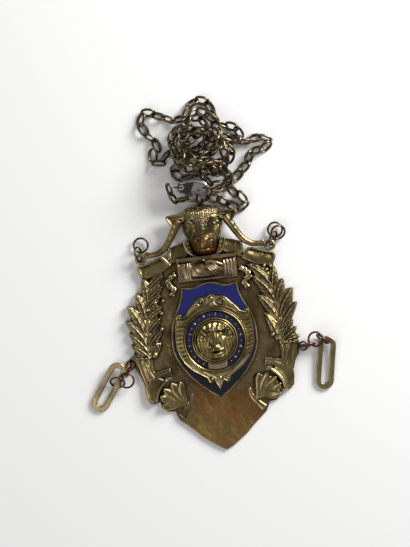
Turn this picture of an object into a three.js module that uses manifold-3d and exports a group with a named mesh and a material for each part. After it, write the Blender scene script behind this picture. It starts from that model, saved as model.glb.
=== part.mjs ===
// A chain of office: an enamelled brass pendant with a bull's head, lying on its back, and its neck chain.
// Millimetres. +Y runs to the head and +Z away from the back. The origin is under the medallion, on the back.
import * as THREE from 'three';
import Module from 'manifold-3d';
import { mergeVertices } from 'three/addons/utils/BufferGeometryUtils.js';

const wasm = await Module();
wasm.setup();

// Clearances
const GAP = 0.3;
const FIT = 0.15;

// Plaque: half width, reach from the medallion's centre up to the shoulders and down to the tip
const PLAQUE_HALF_WIDTH = 40;
const PLAQUE_REACH_UP = 40;
const PLAQUE_REACH_DOWN = 49.5;
const PLATE = 1.6;
const LEAF_RISE = 2.0;
const RIM_RISE = 1.1;
const TIP_RADIUS = 3;

// Eyelets and the jump rings in them
const EYELET_RADIUS = 2.35;
const EYELET_HOLE = 1.45;
const EYELET_THICKNESS = 1.3;
const EYELET_BASE = 1.0;
const RING_RADIUS = 3.2;
const RING_WIRE = 0.85;

// Oval links
const OVAL_LENGTH = 24.4;
const OVAL_WIDTH = 8.4;
const OVAL_BAND = 2.6;
const OVAL_THICKNESS = 1.5;

// Bull's head and horns
const HEAD_HALF_WIDTH = 9.3;
const HEAD_LENGTH = 22.6;
const HEAD_OVERLAP = 1.4;
const HEAD_CHIN_Y = PLAQUE_REACH_UP - HEAD_OVERLAP;
const HEAD_RISE = 7.2;
const HORN_ROOT = 2.0;
const HORN_TIP = 1.05;
const HORN_INSET = 10.7;
const HORN_SPAN = PLAQUE_HALF_WIDTH - HORN_INSET;

// Bar with the clasped hands
const BAR_HALF_WIDTH = 13.3;
const BAR_HEIGHT = 10.6;
const BAR_DROP = 7.1;
const BAR_Y = PLAQUE_REACH_UP - BAR_DROP;
const BAR_BASE = 1.3;
const HAND_RISE = 3.1;

// Shield, its pockets and its enamels
const SHIELD_HALF_WIDTH = 19.4;
const SHIELD_TO_BAR = 1.1;
const SHIELD_REACH_UP = BAR_Y - BAR_HEIGHT / 2 - SHIELD_TO_BAR;
const SHIELD_REACH_DOWN = 26;
const SHIELD_BASE = 1.2;
const SHIELD_WALL = 1.3;
const SHIELD_RIM = 0.6;
const BEAD_RISE = 0.6;
const ENAMEL_THICKNESS = 0.75;
const MEDALLION_RADIUS = 9.4;
const MEDALLION_RISE = 3.4;
const RING_BEAD = 0.6;
const RING_ENAMEL_WIDTH = 2.9;
const TABLET_HALF_WIDTH = 4.4;

// Bail behind the head
const BAIL_RADIUS = 3.2;
const BAIL_WIRE = 1.0;
const BAIL_STRAP = 4;

// Clasp
const CLASP_LENGTH = 14.6;
const CLASP_WIDTH = 8.4;
const CLASP_THICKNESS = 2.6;
const CLASP_ARM = 1.5;
const LEVER_THICKNESS = 1.2;
const LEVER_EYE = 1.25;
const PIN_RADIUS = 0.5;

// Chain, as the tube that its links fill
const CHAIN_WIDTH = 3.4;
const CHAIN_LAYER = 4.05;
const CHAIN_SLOPE = 0.55;
const CHAIN_STEP = 1.5;
const CHAIN_NEAR = 9;
const CHAIN_SIDES = 8;

const COLOURS = {
  brass: { color: 0x8a7443, roughness: 0.42, metalness: 1 },
  oldBrass: { color: 0x5d4a30, roughness: 0.45, metalness: 1 },
  copper: { color: 0x8f6650, roughness: 0.42, metalness: 1 },
  steel: { color: 0x8d9494, roughness: 0.3, metalness: 1 },
  blue: { color: 0x1b1f73, roughness: 0.15, metalness: 0 },
};

const chainOfOffice = new THREE.Group();

// Closed bodies

function solid(geometry) {
  const bare = geometry.clone();
  bare.deleteAttribute('normal');
  bare.deleteAttribute('uv');
  const merged = mergeVertices(bare, 1e-4);
  return new wasm.Manifold(new wasm.Mesh({
    numProp: 3,
    vertProperties: new Float32Array(merged.attributes.position.array),
    triVerts: new Uint32Array(merged.index.array),
  }));
}

function geometryOf(body) {
  const { vertProperties, triVerts } = body.getMesh();
  const geometry = new THREE.BufferGeometry();
  geometry.setAttribute('position', new THREE.BufferAttribute(new Float32Array(vertProperties), 3));
  geometry.setIndex(Array.from(triVerts));
  geometry.computeVertexNormals();
  return geometry;
}

function join(bodies) {
  return bodies.reduce((whole, body) => whole.add(body));
}

function addMesh(name, body, colour, parent = chainOfOffice) {
  const geometry = body.isBufferGeometry ? body : geometryOf(body);
  const mesh = new THREE.Mesh(geometry, new THREE.MeshStandardMaterial(COLOURS[colour]));
  mesh.name = name;
  parent.add(mesh);
  return mesh;
}

// A skin over rings of points that all have the same count. Caps are given as triangles of ring places.
function skin(rings, caps, closed = false) {
  const count = rings[0].length;
  const positions = rings.flat().flatMap((point) => [point.x, point.y, point.z]);
  const index = [];
  const last = closed ? rings.length : rings.length - 1;
  for (let row = 0; row < last; row += 1) {
    const next = (row + 1) % rings.length;
    for (let side = 0; side < count; side += 1) {
      const turn = (side + 1) % count;
      const a = row * count + side;
      const b = row * count + turn;
      const c = next * count + side;
      const d = next * count + turn;
      index.push(a, b, d, a, d, c);
    }
  }
  if (!closed) {
    const top = (rings.length - 1) * count;
    for (const [a, b, c] of caps) index.push(a, c, b, top + a, top + b, top + c);
  }
  const geometry = new THREE.BufferGeometry();
  geometry.setAttribute('position', new THREE.Float32BufferAttribute(positions, 3));
  geometry.setIndex(index);
  return facingOut(geometry);
}

function facingOut(geometry) {
  const place = geometry.attributes.position;
  const { array } = geometry.index;
  const [a, b, c] = [new THREE.Vector3(), new THREE.Vector3(), new THREE.Vector3()];
  let volume = 0;
  for (let k = 0; k < array.length; k += 3) {
    a.fromBufferAttribute(place, array[k]);
    b.fromBufferAttribute(place, array[k + 1]);
    c.fromBufferAttribute(place, array[k + 2]);
    volume += a.dot(b.cross(c));
  }
  if (volume < 0) {
    for (let k = 0; k < array.length; k += 3) [array[k], array[k + 1]] = [array[k + 1], array[k]];
  }
  return geometry;
}

// Sections across a run, each convex
function loft(rings, closed = false) {
  const fan = [];
  for (let k = 1; k < rings[0].length - 1; k += 1) fan.push([0, k, k + 1]);
  return skin(rings, fan, closed);
}

// Level outlines, one over the other, of any shape
function stack(levels) {
  const flat = levels[0].map((point) => new THREE.Vector2(point.x, point.y));
  if (THREE.ShapeUtils.isClockWise(flat)) {
    flat.reverse();
    for (const level of levels) level.reverse();
  }
  return skin(levels, THREE.ShapeUtils.triangulateShape(flat, []));
}

function at(outline, z, scale = 1, centre = new THREE.Vector2()) {
  return outline.map((point) => {
    const x = centre.x + (point.x - centre.x) * scale;
    const y = centre.y + (point.y - centre.y) * scale;
    return new THREE.Vector3(x, y, z);
  });
}

function prism(outline, bottom, top) {
  return solid(stack([at(outline, bottom), at(outline, top)]));
}

function disc(radius, bottom, top, x = 0, y = 0, sides = 16) {
  return prism(circle(radius, x, y, sides), bottom, top);
}

function circle(radius, x = 0, y = 0, sides = 16) {
  const points = [];
  for (let k = 0; k < sides; k += 1) {
    const angle = (k + 0.5) * 2 * Math.PI / sides;
    points.push(new THREE.Vector2(x + radius * Math.cos(angle), y + radius * Math.sin(angle)));
  }
  return points;
}

function block(x0, x1, y0, y1, bottom, top) {
  const corners = [[x0, y0], [x1, y0], [x1, y1], [x0, y1]];
  return prism(corners.map(([x, y]) => new THREE.Vector2(x, y)), bottom, top);
}

// A half ellipsoid on its foot
function mound(x, y, foot, halfLength, halfWidth, rise, turn = 0) {
  const profile = [new THREE.Vector2(0, -0.12), new THREE.Vector2(1, -0.12)];
  const steps = 3;
  for (let k = 0; k <= steps; k += 1) {
    const angle = Math.PI / 2 * k / steps;
    profile.push(new THREE.Vector2(k === steps ? 0 : Math.cos(angle), Math.sin(angle)));
  }
  const ball = facingOut(new THREE.LatheGeometry(profile, 8));
  ball.rotateX(Math.PI / 2);
  ball.scale(halfLength, halfWidth, rise);
  ball.rotateZ(turn);
  ball.translate(x, y, foot);
  return solid(ball);
}

// Moves each point of a closed outline outwards by one distance
function grown(outline, distance) {
  const turned = THREE.ShapeUtils.area(outline) < 0 ? -1 : 1;
  return outline.map((point, k) => {
    const before = outline[(k + outline.length - 1) % outline.length];
    const after = outline[(k + 1) % outline.length];
    const shift = mitre(before, point, after);
    return new THREE.Vector2(point.x + shift.x * distance * turned, point.y + shift.y * distance * turned);
  });
}

// The way to the right of a bend, as long as keeps both runs one unit away
function mitre(before, point, after) {
  const a = new THREE.Vector2().subVectors(point, before).normalize();
  const b = new THREE.Vector2().subVectors(after, point).normalize();
  const first = new THREE.Vector2(a.y, -a.x);
  const second = new THREE.Vector2(b.y, -b.x);
  const scale = 1 / Math.max(1 + first.dot(second), 0.5);
  return first.add(second).multiplyScalar(scale);
}

// A section of [across, height] pairs swept along a plan line
function rail(line, section, foot, closed = false) {
  const rings = line.map((point, k) => {
    const open = !closed;
    const before = open && k === 0 ? new THREE.Vector2(2 * point.x - line[1].x, 2 * point.y - line[1].y)
      : line[(k + line.length - 1) % line.length];
    const after = open && k === line.length - 1
      ? new THREE.Vector2(2 * point.x - line[k - 1].x, 2 * point.y - line[k - 1].y)
      : line[(k + 1) % line.length];
    const across = mitre(before, point, after);
    return section.map(([offset, height]) => (
      new THREE.Vector3(point.x + across.x * offset, point.y + across.y * offset, foot + height)));
  });
  return solid(loft(rings, closed));
}

function beadSection(width, rise, sink = 0.3) {
  return [[-width / 2, -sink], [-width / 2, rise * 0.4], [0, rise], [width / 2, rise * 0.4], [width / 2, -sink]];
}

function mirrored(points) {
  return points.map((point) => new THREE.Vector2(-point.x, point.y));
}

// A whole outline from its right half, told from the top middle to the bottom middle
function bothHalves(half) {
  const left = mirrored(half.filter((point) => point.x > 0)).reverse();
  return half.concat(left);
}

function bySide(side, points) {
  return side < 0 ? mirrored(points) : points;
}

// Plaque

function onPlaque(x, y) {
  return new THREE.Vector2(x * PLAQUE_HALF_WIDTH, y * (y > 0 ? PLAQUE_REACH_UP : PLAQUE_REACH_DOWN));
}

// Right half of the plate, from the top middle down: shares of the half width and of the reach up or down
const PLATE_EDGE = [
  [0, 1.12], [0.22, 1.13], [0.41, 1.09], [0.413, 0.955], [0.45, 0.92], [0.505, 0.99], [0.56, 0.975],
  [0.64, 0.925], [0.7, 0.908], [0.775, 0.912], [0.778, 0.85], [0.75, 0.79], [0.74, 0.76], [0.755, 0.65],
  [0.8, 0.56], [0.85, 0.45], [0.88, 0.3], [0.88, 0.12], [0.9, 0.02], [0.93, -0.06], [0.94, -0.14],
  [0.92, -0.2], [0.875, -0.26], [0.845, -0.33], [0.835, -0.43], [0.81, -0.5], [0.74, -0.515], [0.69, -0.505],
  [0.68, -0.56], [0.62, -0.6], [0.53, -0.606], [0.52, -0.64], [0.49, -0.69],
];

// Small gaps cut right through, one on each side: x, y, half width, half height
const PIERCINGS = [
  [0.57, -0.305, 0.042, 0.018],
  [0.52, 0.82, 0.022, 0.016],
];

// Leaves: side (0 both, 1 right, -1 left), base, tip, how far the midrib bows, and width
const LEAVES = [
  [0, 0.79, -0.1, 0.985, -0.085, 0.06, 0.086],
  [0, 0.76, -0.095, 0.945, 0.04, -0.08, 0.099],
  [0, 0.755, -0.05, 0.905, 0.12, -0.08, 0.099],
  [0, 0.77, 0.02, 0.975, 0.322, -0.12, 0.125],
  [0, 0.785, 0.17, 0.94, 0.492, -0.1, 0.125],
  [0, 0.755, 0.42, 0.835, 0.61, -0.08, 0.112],
  [0, 0.74, 0.6, 0.735, 0.785, -0.1, 0.086],
  [1, 0.705, -0.05, 0.59, 0.245, 0.1, 0.106],
  [1, 0.695, 0.235, 0.535, 0.455, 0.1, 0.106],
  [1, 0.71, 0.44, 0.5, 0.67, 0.12, 0.106],
  [1, 0.65, 0.69, 0.47, 0.805, 0.12, 0.092],
  [-1, 0.715, 0.03, 0.56, 0.175, 0.1, 0.112],
  [-1, 0.72, 0.3, 0.55, 0.43, 0.1, 0.106],
  [-1, 0.69, 0.5, 0.52, 0.655, 0.1, 0.106],
  [-1, 0.66, 0.68, 0.49, 0.79, 0.1, 0.092],
];

// Husks that fan out from the foot: tip, bow, width
const HUSK_BASE = [0.37, -0.6];
const HUSKS = [
  [0.425, -0.335, -0.1, 0.087],
  [0.53, -0.36, -0.08, 0.102],
  [0.615, -0.4, -0.05, 0.109],
  [0.665, -0.45, 0.05, 0.109],
  [0.66, -0.545, 0.08, 0.123],
];

// Midribs: along the leaf, width and height, as shares of the whole
const LEAF_SECTIONS = [
  [0, 0.4, 0.5],
  [0.25, 0.85, 0.9],
  [0.55, 1, 1],
  [0.8, 0.65, 0.85],
  [1, 0.12, 0.45],
];

const STEM = [[0.735, -0.1], [0.72, 0.03], [0.73, 0.2], [0.715, 0.4], [0.69, 0.58], [0.64, 0.7], [0.52, 0.81]];
const CORD_TIE = [[0.36, 0.79], [0.42, 0.755], [0.46, 0.69], [0.4, 0.62], [0.43, 0.55]];
const FOOT_RIM = [[0.325, -0.46], [0.345, -0.54], [0.41, -0.61], [0.47, -0.66]];
const COLLAR_RIM = [[0, 0.945], [0.115, 0.965], [0.19, 1.02], [0.235, 1.12]];
const RIBBONS = [
  [[0.91, -0.15], [0.83, -0.26], [0.8, -0.36], [0.79, -0.46]],
  [[0.76, -0.17], [0.72, -0.29], [0.64, -0.26], [0.545, -0.225]],
];
const BERRIES = [[0.62, 0.49, 0.032], [0.655, 0.02, 0.032], [0.69, -0.075, 0.035], [0.6, 0.2, 0.032]];
const CORNER_BLOCK = [[0.52, 0.97], [0.63, 0.925], [0.765, 0.9], [0.765, 0.82], [0.66, 0.79], [0.55, 0.84]];

function leaf(base, tip, bow, width, foot) {
  const along = new THREE.Vector2().subVectors(tip, base);
  const middle = new THREE.Vector2().addVectors(base, tip).multiplyScalar(0.5);
  middle.add(new THREE.Vector2(-along.y, along.x).multiplyScalar(bow));
  const midrib = new THREE.QuadraticBezierCurve(base, middle, tip);
  const edge = PLATE * 0.9;
  return solid(loft(LEAF_SECTIONS.map(([share, spread, height]) => {
    const point = midrib.getPoint(share);
    const way = midrib.getTangent(share);
    const half = Math.max(width * spread, 0.4) / 2;
    const top = PLATE + LEAF_RISE * height;
    const x = -way.y * half;
    const y = way.x * half;
    return [
      new THREE.Vector3(point.x + x, point.y + y, edge),
      new THREE.Vector3(point.x, point.y, top),
      new THREE.Vector3(point.x - x, point.y - y, edge),
      new THREE.Vector3(point.x - x, point.y - y, foot),
      new THREE.Vector3(point.x + x, point.y + y, foot),
    ];
  })));
}

function plaqueLine(side, points) {
  return bySide(side, points.map(([x, y]) => onPlaque(x, y)));
}

function sprays(side) {
  const bodies = [];
  for (const [where, baseX, baseY, tipX, tipY, bow, width] of LEAVES) {
    if (where === 0 || where === side) {
      const [base, tip] = plaqueLine(side, [[baseX, baseY], [tipX, tipY]]);
      bodies.push(leaf(base, tip, bow * side, width * PLAQUE_HALF_WIDTH, 0));
    }
  }
  const [root] = plaqueLine(side, [HUSK_BASE]);
  for (const [tipX, tipY, bow, width] of HUSKS) {
    const [tip] = plaqueLine(side, [[tipX, tipY]]);
    bodies.push(leaf(root, tip, bow * side, width * PLAQUE_HALF_WIDTH, PLATE / 2));
  }
  bodies.push(rail(plaqueLine(side, STEM), beadSection(1.3, LEAF_RISE * 0.6), PLATE));
  return bodies;
}

function ribbons(side) {
  const bodies = RIBBONS.map((line) => rail(plaqueLine(side, line), beadSection(2.6, LEAF_RISE * 0.75), PLATE));
  const [curl] = plaqueLine(side, [[0.76, -0.482]]);
  bodies.push(disc(2.1, 0, PLATE + LEAF_RISE * 0.7, curl.x, curl.y, 12));
  bodies.push(disc(1.0, PLATE, PLATE + LEAF_RISE, curl.x, curl.y, 8));
  bodies.push(rail(plaqueLine(side, FOOT_RIM), beadSection(1.6, RIM_RISE), PLATE));
  bodies.push(rail(plaqueLine(side, CORD_TIE), beadSection(1.7, LEAF_RISE * 0.8), PLATE));
  for (const [x, y, size] of side < 0 ? BERRIES : BERRIES.slice(1, 2)) {
    const [point] = plaqueLine(side, [[x, y]]);
    const radius = size * PLAQUE_HALF_WIDTH;
    bodies.push(mound(point.x, point.y, PLATE, radius, radius, LEAF_RISE));
  }
  return bodies;
}

function cornerBlock(side) {
  const outline = plaqueLine(side, CORNER_BLOCK);
  const middle = outline.reduce((sum, point) => sum.add(point), new THREE.Vector2()).divideScalar(outline.length);
  const top = PLATE + LEAF_RISE * 0.9;
  return solid(stack([at(outline, PLATE / 2), at(outline, top * 0.85), at(outline, top, 0.75, middle)]));
}

const LOWER_EYELET = onPlaque(0.98, -0.141);
const SHIELD_FLOOR = PLATE + GAP;

function plaque() {
  const half = PLATE_EDGE.map(([x, y]) => onPlaque(x, y));
  const tip = onPlaque(0, -1);
  half.push(new THREE.Vector2(TIP_RADIUS * 0.75, tip.y + TIP_RADIUS * 0.4), tip);
  const bodies = [prism(bothHalves(half), 0, PLATE)];
  for (const side of [1, -1]) {
    bodies.push(...sprays(side), ...ribbons(side), cornerBlock(side));
    const eyelet = [EYELET_RADIUS, EYELET_BASE, EYELET_BASE + EYELET_THICKNESS, LOWER_EYELET.x * side, LOWER_EYELET.y];
    bodies.push(disc(...eyelet, 14));
    bodies.push(rail(plaqueLine(side, COLLAR_RIM), beadSection(1.5, LEAF_RISE * 0.9), PLATE));
  }
  let body = join(bodies);
  for (const side of [1, -1]) {
    body = body.subtract(disc(EYELET_HOLE, -1, PLATE * 3, LOWER_EYELET.x * side, LOWER_EYELET.y, 12));
    for (const [x, y, halfWidth, halfHeight] of PIERCINGS) {
      const [point] = plaqueLine(side, [[x, y]]);
      const hole = circle(1, 0, 0, 8).map((spot) => new THREE.Vector2(
        point.x + spot.x * halfWidth * PLAQUE_HALF_WIDTH,
        point.y + spot.y * halfHeight * PLAQUE_REACH_DOWN,
      ));
      body = body.subtract(prism(hole, -1, PLATE * 4));
    }
  }
  const seatTop = PLATE + HEAD_RISE;
  body = body.subtract(prism(grown(shieldOutline(), GAP), PLATE, seatTop));
  body = body.subtract(prism(grown(barOutline(), GAP), PLATE, seatTop));
  return body.subtract(headSeat());
}

// Shield

function onShield(x, y) {
  return new THREE.Vector2(x * SHIELD_HALF_WIDTH, y * (y > 0 ? SHIELD_REACH_UP : SHIELD_REACH_DOWN));
}

const SHIELD_EDGE = [
  [0, 1], [0.155, 0.985], [0.31, 0.94], [0.41, 0.928], [0.515, 0.936], [0.66, 0.951], [0.675, 0.81],
  [0.747, 0.66], [0.84, 0.528], [0.912, 0.415], [0.964, 0.302], [1, 0.113], [0.995, -0.096], [0.943, -0.235],
  [0.835, -0.4], [0.644, -0.6], [0.438, -0.755], [0.232, -0.885], [0, -1],
];

// Gilt strapwork that stands in the blue field, right half from its crest to its lower finial
const CARTOUCHE_EDGE = [
  [0, 0.815], [0.115, 0.765], [0.2, 0.752], [0.29, 0.755], [0.38, 0.7], [0.47, 0.63], [0.57, 0.56],
  [0.65, 0.475], [0.74, 0.45], [0.8, 0.505], [0.86, 0.47], [0.88, 0.37], [0.91, 0.28], [0.925, 0.113],
  [0.92, -0.08], [0.87, -0.2], [0.77, -0.35], [0.62, -0.475], [0.44, -0.57], [0.29, -0.64],
  [0.235, -0.725], [0.165, -0.74], [0.11, -0.7], [0.07, -0.77], [0, -0.86],
];

function shieldOutline() {
  return bothHalves(SHIELD_EDGE.map(([x, y]) => onShield(x, y)));
}

function cartoucheOutline() {
  return bothHalves(CARTOUCHE_EDGE.map(([x, y]) => onShield(x, y)));
}

const POCKET_FLOOR = SHIELD_FLOOR + SHIELD_BASE;
const SHIELD_TOP = POCKET_FLOOR + SHIELD_WALL;
const RING_INNER = MEDALLION_RADIUS + GAP + RING_BEAD;
const RING_OUTER = RING_INNER + RING_ENAMEL_WIDTH;

function annulus(inner, outer, bottom, top, sides = 32) {
  return disc(outer, bottom, top, 0, 0, sides).subtract(disc(inner, bottom - 1, top + 1, 0, 0, sides));
}

function bead(radius, width, sides = 32) {
  return rail(circle(radius, 0, 0, sides), beadSection(width, BEAD_RISE), SHIELD_TOP, true);
}

// Low flutes on the side panels: how high each lies, as a share of the shield's reach up
const FLUTE_HIGHEST = 0.3;
const FLUTE_LOWEST = -0.26;
const FLUTE_COUNT = 9;

function flutes(side) {
  const bodies = [];
  for (let k = 0; k < FLUTE_COUNT; k += 1) {
    const y = (FLUTE_HIGHEST + (FLUTE_LOWEST - FLUTE_HIGHEST) * k / (FLUTE_COUNT - 1)) * SHIELD_REACH_UP;
    const near = Math.sqrt(Math.max((RING_OUTER + RING_BEAD * 2) ** 2 - y * y, 0));
    const far = SHIELD_HALF_WIDTH * 0.88 - Math.max(-y - 1, 0) * 0.3;
    const line = bySide(side, [new THREE.Vector2(near, y), new THREE.Vector2(far, y)]);
    bodies.push(rail(line, beadSection(0.8, BEAD_RISE * 0.6), SHIELD_TOP));
  }
  return bodies;
}

function shield() {
  const outline = shieldOutline();
  let body = prism(outline, SHIELD_FLOOR, SHIELD_TOP);
  const field = prism(grown(outline, -SHIELD_RIM), POCKET_FLOOR, SHIELD_TOP + 1);
  body = body.subtract(field.subtract(prism(cartoucheOutline(), POCKET_FLOOR - 1, SHIELD_TOP + 2)));
  const strap = rail(grown(cartoucheOutline(), -0.4), beadSection(0.7, BEAD_RISE), SHIELD_TOP, true);
  body = join([body, strap, bead(RING_OUTER + RING_BEAD, RING_BEAD * 2), ...flutes(1), ...flutes(-1)]);
  for (const side of [1, -1]) {
    const volute = onShield(0.26 * side, 0.69);
    body = body.add(disc(1.5, POCKET_FLOOR, SHIELD_TOP + BEAD_RISE, volute.x, volute.y, 10));
  }
  body = body.subtract(annulus(RING_INNER, RING_OUTER, POCKET_FLOOR, SHIELD_TOP + 2));
  body = body.subtract(disc(MEDALLION_RADIUS + GAP, POCKET_FLOOR, SHIELD_TOP + 2, 0, 0, 32));
  return body;
}

const ENAMEL_BOTTOM = POCKET_FLOOR + GAP;
const ENAMEL_TOP = ENAMEL_BOTTOM + ENAMEL_THICKNESS;

function enamelFields() {
  const field = prism(grown(shieldOutline(), -SHIELD_RIM - FIT), ENAMEL_BOTTOM, ENAMEL_TOP);
  const tiles = field.subtract(prism(grown(cartoucheOutline(), FIT), 0, SHIELD_TOP + 2)).decompose();
  tiles.sort((first, second) => second.volume() - first.volume());
  const [first, second] = tiles;
  return first.boundingBox().max[1] > second.boundingBox().max[1] ? [first, second] : [second, first];
}

function tabletBlock(clearance, bottom, top) {
  const halfWidth = TABLET_HALF_WIDTH + clearance;
  return block(-halfWidth, halfWidth, -RING_OUTER - 1, 0, bottom, top);
}

function enamelRing() {
  const ring = annulus(RING_INNER + FIT, RING_OUTER - FIT, ENAMEL_BOTTOM, ENAMEL_TOP);
  return ring.subtract(tabletBlock(FIT, 0, SHIELD_TOP + 2));
}

function ringTablet() {
  const tile = annulus(RING_INNER + FIT, RING_OUTER - FIT, ENAMEL_BOTTOM, SHIELD_TOP);
  return tile.intersect(tabletBlock(-FIT, 0, SHIELD_TOP + 2));
}

// Medallion: a lion's mask with a mane all round. Face: x, y, half length, half width, rise, turn
const LION_FACE = [
  [0, 0.12, 0.5, 0.56, 0.95, 0],
  [0, 0.46, 0.4, 0.22, 0.92, 0],
  [0, 0.02, 0.12, 0.4, 1.2, 0],
  [0.15, -0.28, 0.2, 0.15, 1.1, 0.2],
  [-0.15, -0.28, 0.2, 0.15, 1.1, -0.2],
  [0, -0.52, 0.22, 0.14, 0.9, 0],
  [0.3, 0.16, 0.13, 0.16, 1.02, 0],
  [-0.3, 0.16, 0.13, 0.16, 1.02, 0],
];
const MANE_LOCKS = 18;

function lionMedallion() {
  const radius = MEDALLION_RADIUS;
  const bottom = POCKET_FLOOR + GAP;
  const top = SHIELD_TOP + BEAD_RISE;
  const rim = circle(radius, 0, 0, 24);
  const bodies = [solid(stack([at(rim, bottom), at(rim, top), at(rim, top + MEDALLION_RISE * 0.35, 0.8)]))];
  for (let k = 0; k < MANE_LOCKS; k += 1) {
    const angle = (k + 0.5) * 2 * Math.PI / MANE_LOCKS;
    const x = Math.cos(angle) * radius * 0.7;
    const y = Math.sin(angle) * radius * 0.7;
    bodies.push(mound(x, y, top, radius * 0.22, radius * 0.12, MEDALLION_RISE * 0.62, angle));
  }
  for (const [x, y, halfLength, halfWidth, rise, turn] of LION_FACE) {
    const height = MEDALLION_RISE * rise;
    bodies.push(mound(x * radius, y * radius, top, halfLength * radius, halfWidth * radius, height, turn));
  }
  return join(bodies).subtract(disc(radius * 2, bottom - 9, bottom));
}

// Bar with the clasped hands

function barOutline() {
  const [low, high] = [BAR_Y - BAR_HEIGHT / 2, BAR_Y + BAR_HEIGHT / 2];
  const corners = [[-1, low], [1, low], [1, high], [-1, high]];
  return corners.map(([x, y]) => new THREE.Vector2(x * BAR_HALF_WIDTH, y));
}

// Sleeves, cuffs and hands: along the bar, half breadth and rise, as shares
const ARM_SECTIONS = [
  [-0.94, 0.3, 0.6],
  [-0.7, 0.34, 0.66],
  [-0.68, 0.36, 0.9],
  [-0.54, 0.36, 0.9],
  [-0.52, 0.29, 0.72],
  [-0.2, 0.33, 0.95],
  [0.2, 0.34, 1],
  [0.5, 0.29, 0.74],
  [0.6, 0.36, 0.9],
  [0.78, 0.36, 0.9],
  [0.8, 0.34, 0.66],
  [0.94, 0.3, 0.6],
];
const FINGER_COUNT = 4;

function arch(sides, halfBreadth, rise, place) {
  const points = [];
  for (let k = 0; k <= sides; k += 1) {
    const angle = Math.PI * k / sides;
    points.push(place(Math.cos(angle) * halfBreadth, Math.sin(angle) ** 0.8 * rise));
  }
  return points;
}

function handclaspBar() {
  const bottom = SHIELD_FLOOR;
  const face = bottom + BAR_BASE;
  const low = BAR_Y - BAR_HEIGHT / 2;
  const high = BAR_Y + BAR_HEIGHT / 2;
  const bodies = [prism(barOutline(), bottom, face)];
  bodies.push(block(-BAR_HALF_WIDTH, BAR_HALF_WIDTH, high - BAR_HEIGHT * 0.16, high, bottom, face + HAND_RISE * 0.55));
  bodies.push(block(-BAR_HALF_WIDTH, BAR_HALF_WIDTH, low, low + BAR_HEIGHT * 0.09, bottom, face + HAND_RISE * 0.35));
  for (const side of [1, -1]) {
    const edge = BAR_HALF_WIDTH * side;
    const inner = edge - side * 0.9;
    bodies.push(block(Math.min(edge, inner), Math.max(edge, inner), low, high, bottom, face + HAND_RISE * 0.35));
  }
  const middle = BAR_Y - BAR_HEIGHT * 0.05;
  bodies.push(solid(loft(ARM_SECTIONS.map(([along, breadth, rise]) => arch(
    6, breadth * BAR_HEIGHT, rise * HAND_RISE,
    (across, height) => new THREE.Vector3(along * BAR_HALF_WIDTH, middle + across, face - 0.2 + height),
  )))));
  for (let k = 0; k < FINGER_COUNT; k += 1) {
    const x = (0.02 + k * 0.1) * BAR_HALF_WIDTH;
    bodies.push(mound(x, middle - BAR_HEIGHT * 0.04, face, BAR_HEIGHT * 0.27, 0.75, HAND_RISE * 1.12, -0.72));
  }
  return join(bodies);
}

// Bull's head: sections from the chin to the crown. Along, half width and rise, as shares
const HEAD_SECTIONS = [
  [0, 0.3, 0.3],
  [0.035, 0.46, 0.62],
  [0.12, 0.54, 0.86],
  [0.22, 0.6, 0.96],
  [0.31, 0.68, 0.93],
  [0.37, 0.7, 0.8],
  [0.45, 0.78, 0.78],
  [0.56, 0.91, 0.86],
  [0.68, 0.99, 0.95],
  [0.8, 1, 1],
  [0.9, 0.94, 0.9],
  [0.97, 0.74, 0.66],
  [1, 0.45, 0.35],
];

// Horn: centre line, as shares of the way from its root out to the eyelet, of the head's length and of its rise
const HORN_ROOT_X = HEAD_HALF_WIDTH * 1.134;
const HORN_LINE = [
  [0, 0.73, 0.62],
  [0.11, 0.58, 0.6],
  [0.22, 0.42, 0.56],
  [0.375, 0.24, 0.5],
  [0.5625, 0.135, 0.44],
  [0.766, 0.115, 0.4],
  [0.906, 0.1, 0.4],
];

const EAR_SECTIONS = [
  [0.84, 0.82, 0.1],
  [1.05, 0.835, 0.135],
  [1.3, 0.835, 0.11],
  [1.52, 0.83, 0.06],
  [1.69, 0.82, 0.012],
];

function headY(share) {
  return HEAD_CHIN_Y + share * HEAD_LENGTH;
}

const HEAD_FLOOR = PLATE + GAP;
const HORN_EYELET = new THREE.Vector2(HORN_SPAN, headY(0.062));
const EYELET_MIDDLE = HEAD_FLOOR + EYELET_RADIUS * 0.4;
const EYELET_HALF = EYELET_THICKNESS / 2;

function headSeat() {
  const outline = bothHalves(HEAD_SECTIONS.map(([along, width]) => (
    new THREE.Vector2(width * HEAD_HALF_WIDTH, headY(along)))).reverse());
  return prism(grown(outline.filter((point, k) => k !== 0), GAP), PLATE, PLATE + HEAD_RISE * 2);
}

function horn(side) {
  const points = HORN_LINE.map(([share, y, z]) => {
    const x = THREE.MathUtils.lerp(HORN_ROOT_X, HORN_SPAN, share) * side;
    return new THREE.Vector3(x, headY(y), HEAD_FLOOR + z * HEAD_RISE * 0.8);
  });
  const run = new THREE.CatmullRomCurve3(points);
  const rings = [];
  const steps = 9;
  for (let k = 0; k <= steps; k += 1) {
    const centre = run.getPointAt(k / steps);
    const way = run.getTangentAt(k / steps);
    const across = new THREE.Vector3(way.y, -way.x, 0).normalize();
    const up = new THREE.Vector3().crossVectors(across, way).normalize();
    const radius = HORN_ROOT + (HORN_TIP - HORN_ROOT) * k / steps;
    rings.push(circle(radius, 0, 0, 8).map((spot) => (
      centre.clone().addScaledVector(across, spot.x).addScaledVector(up, spot.y))));
  }
  return solid(loft(rings));
}

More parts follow.
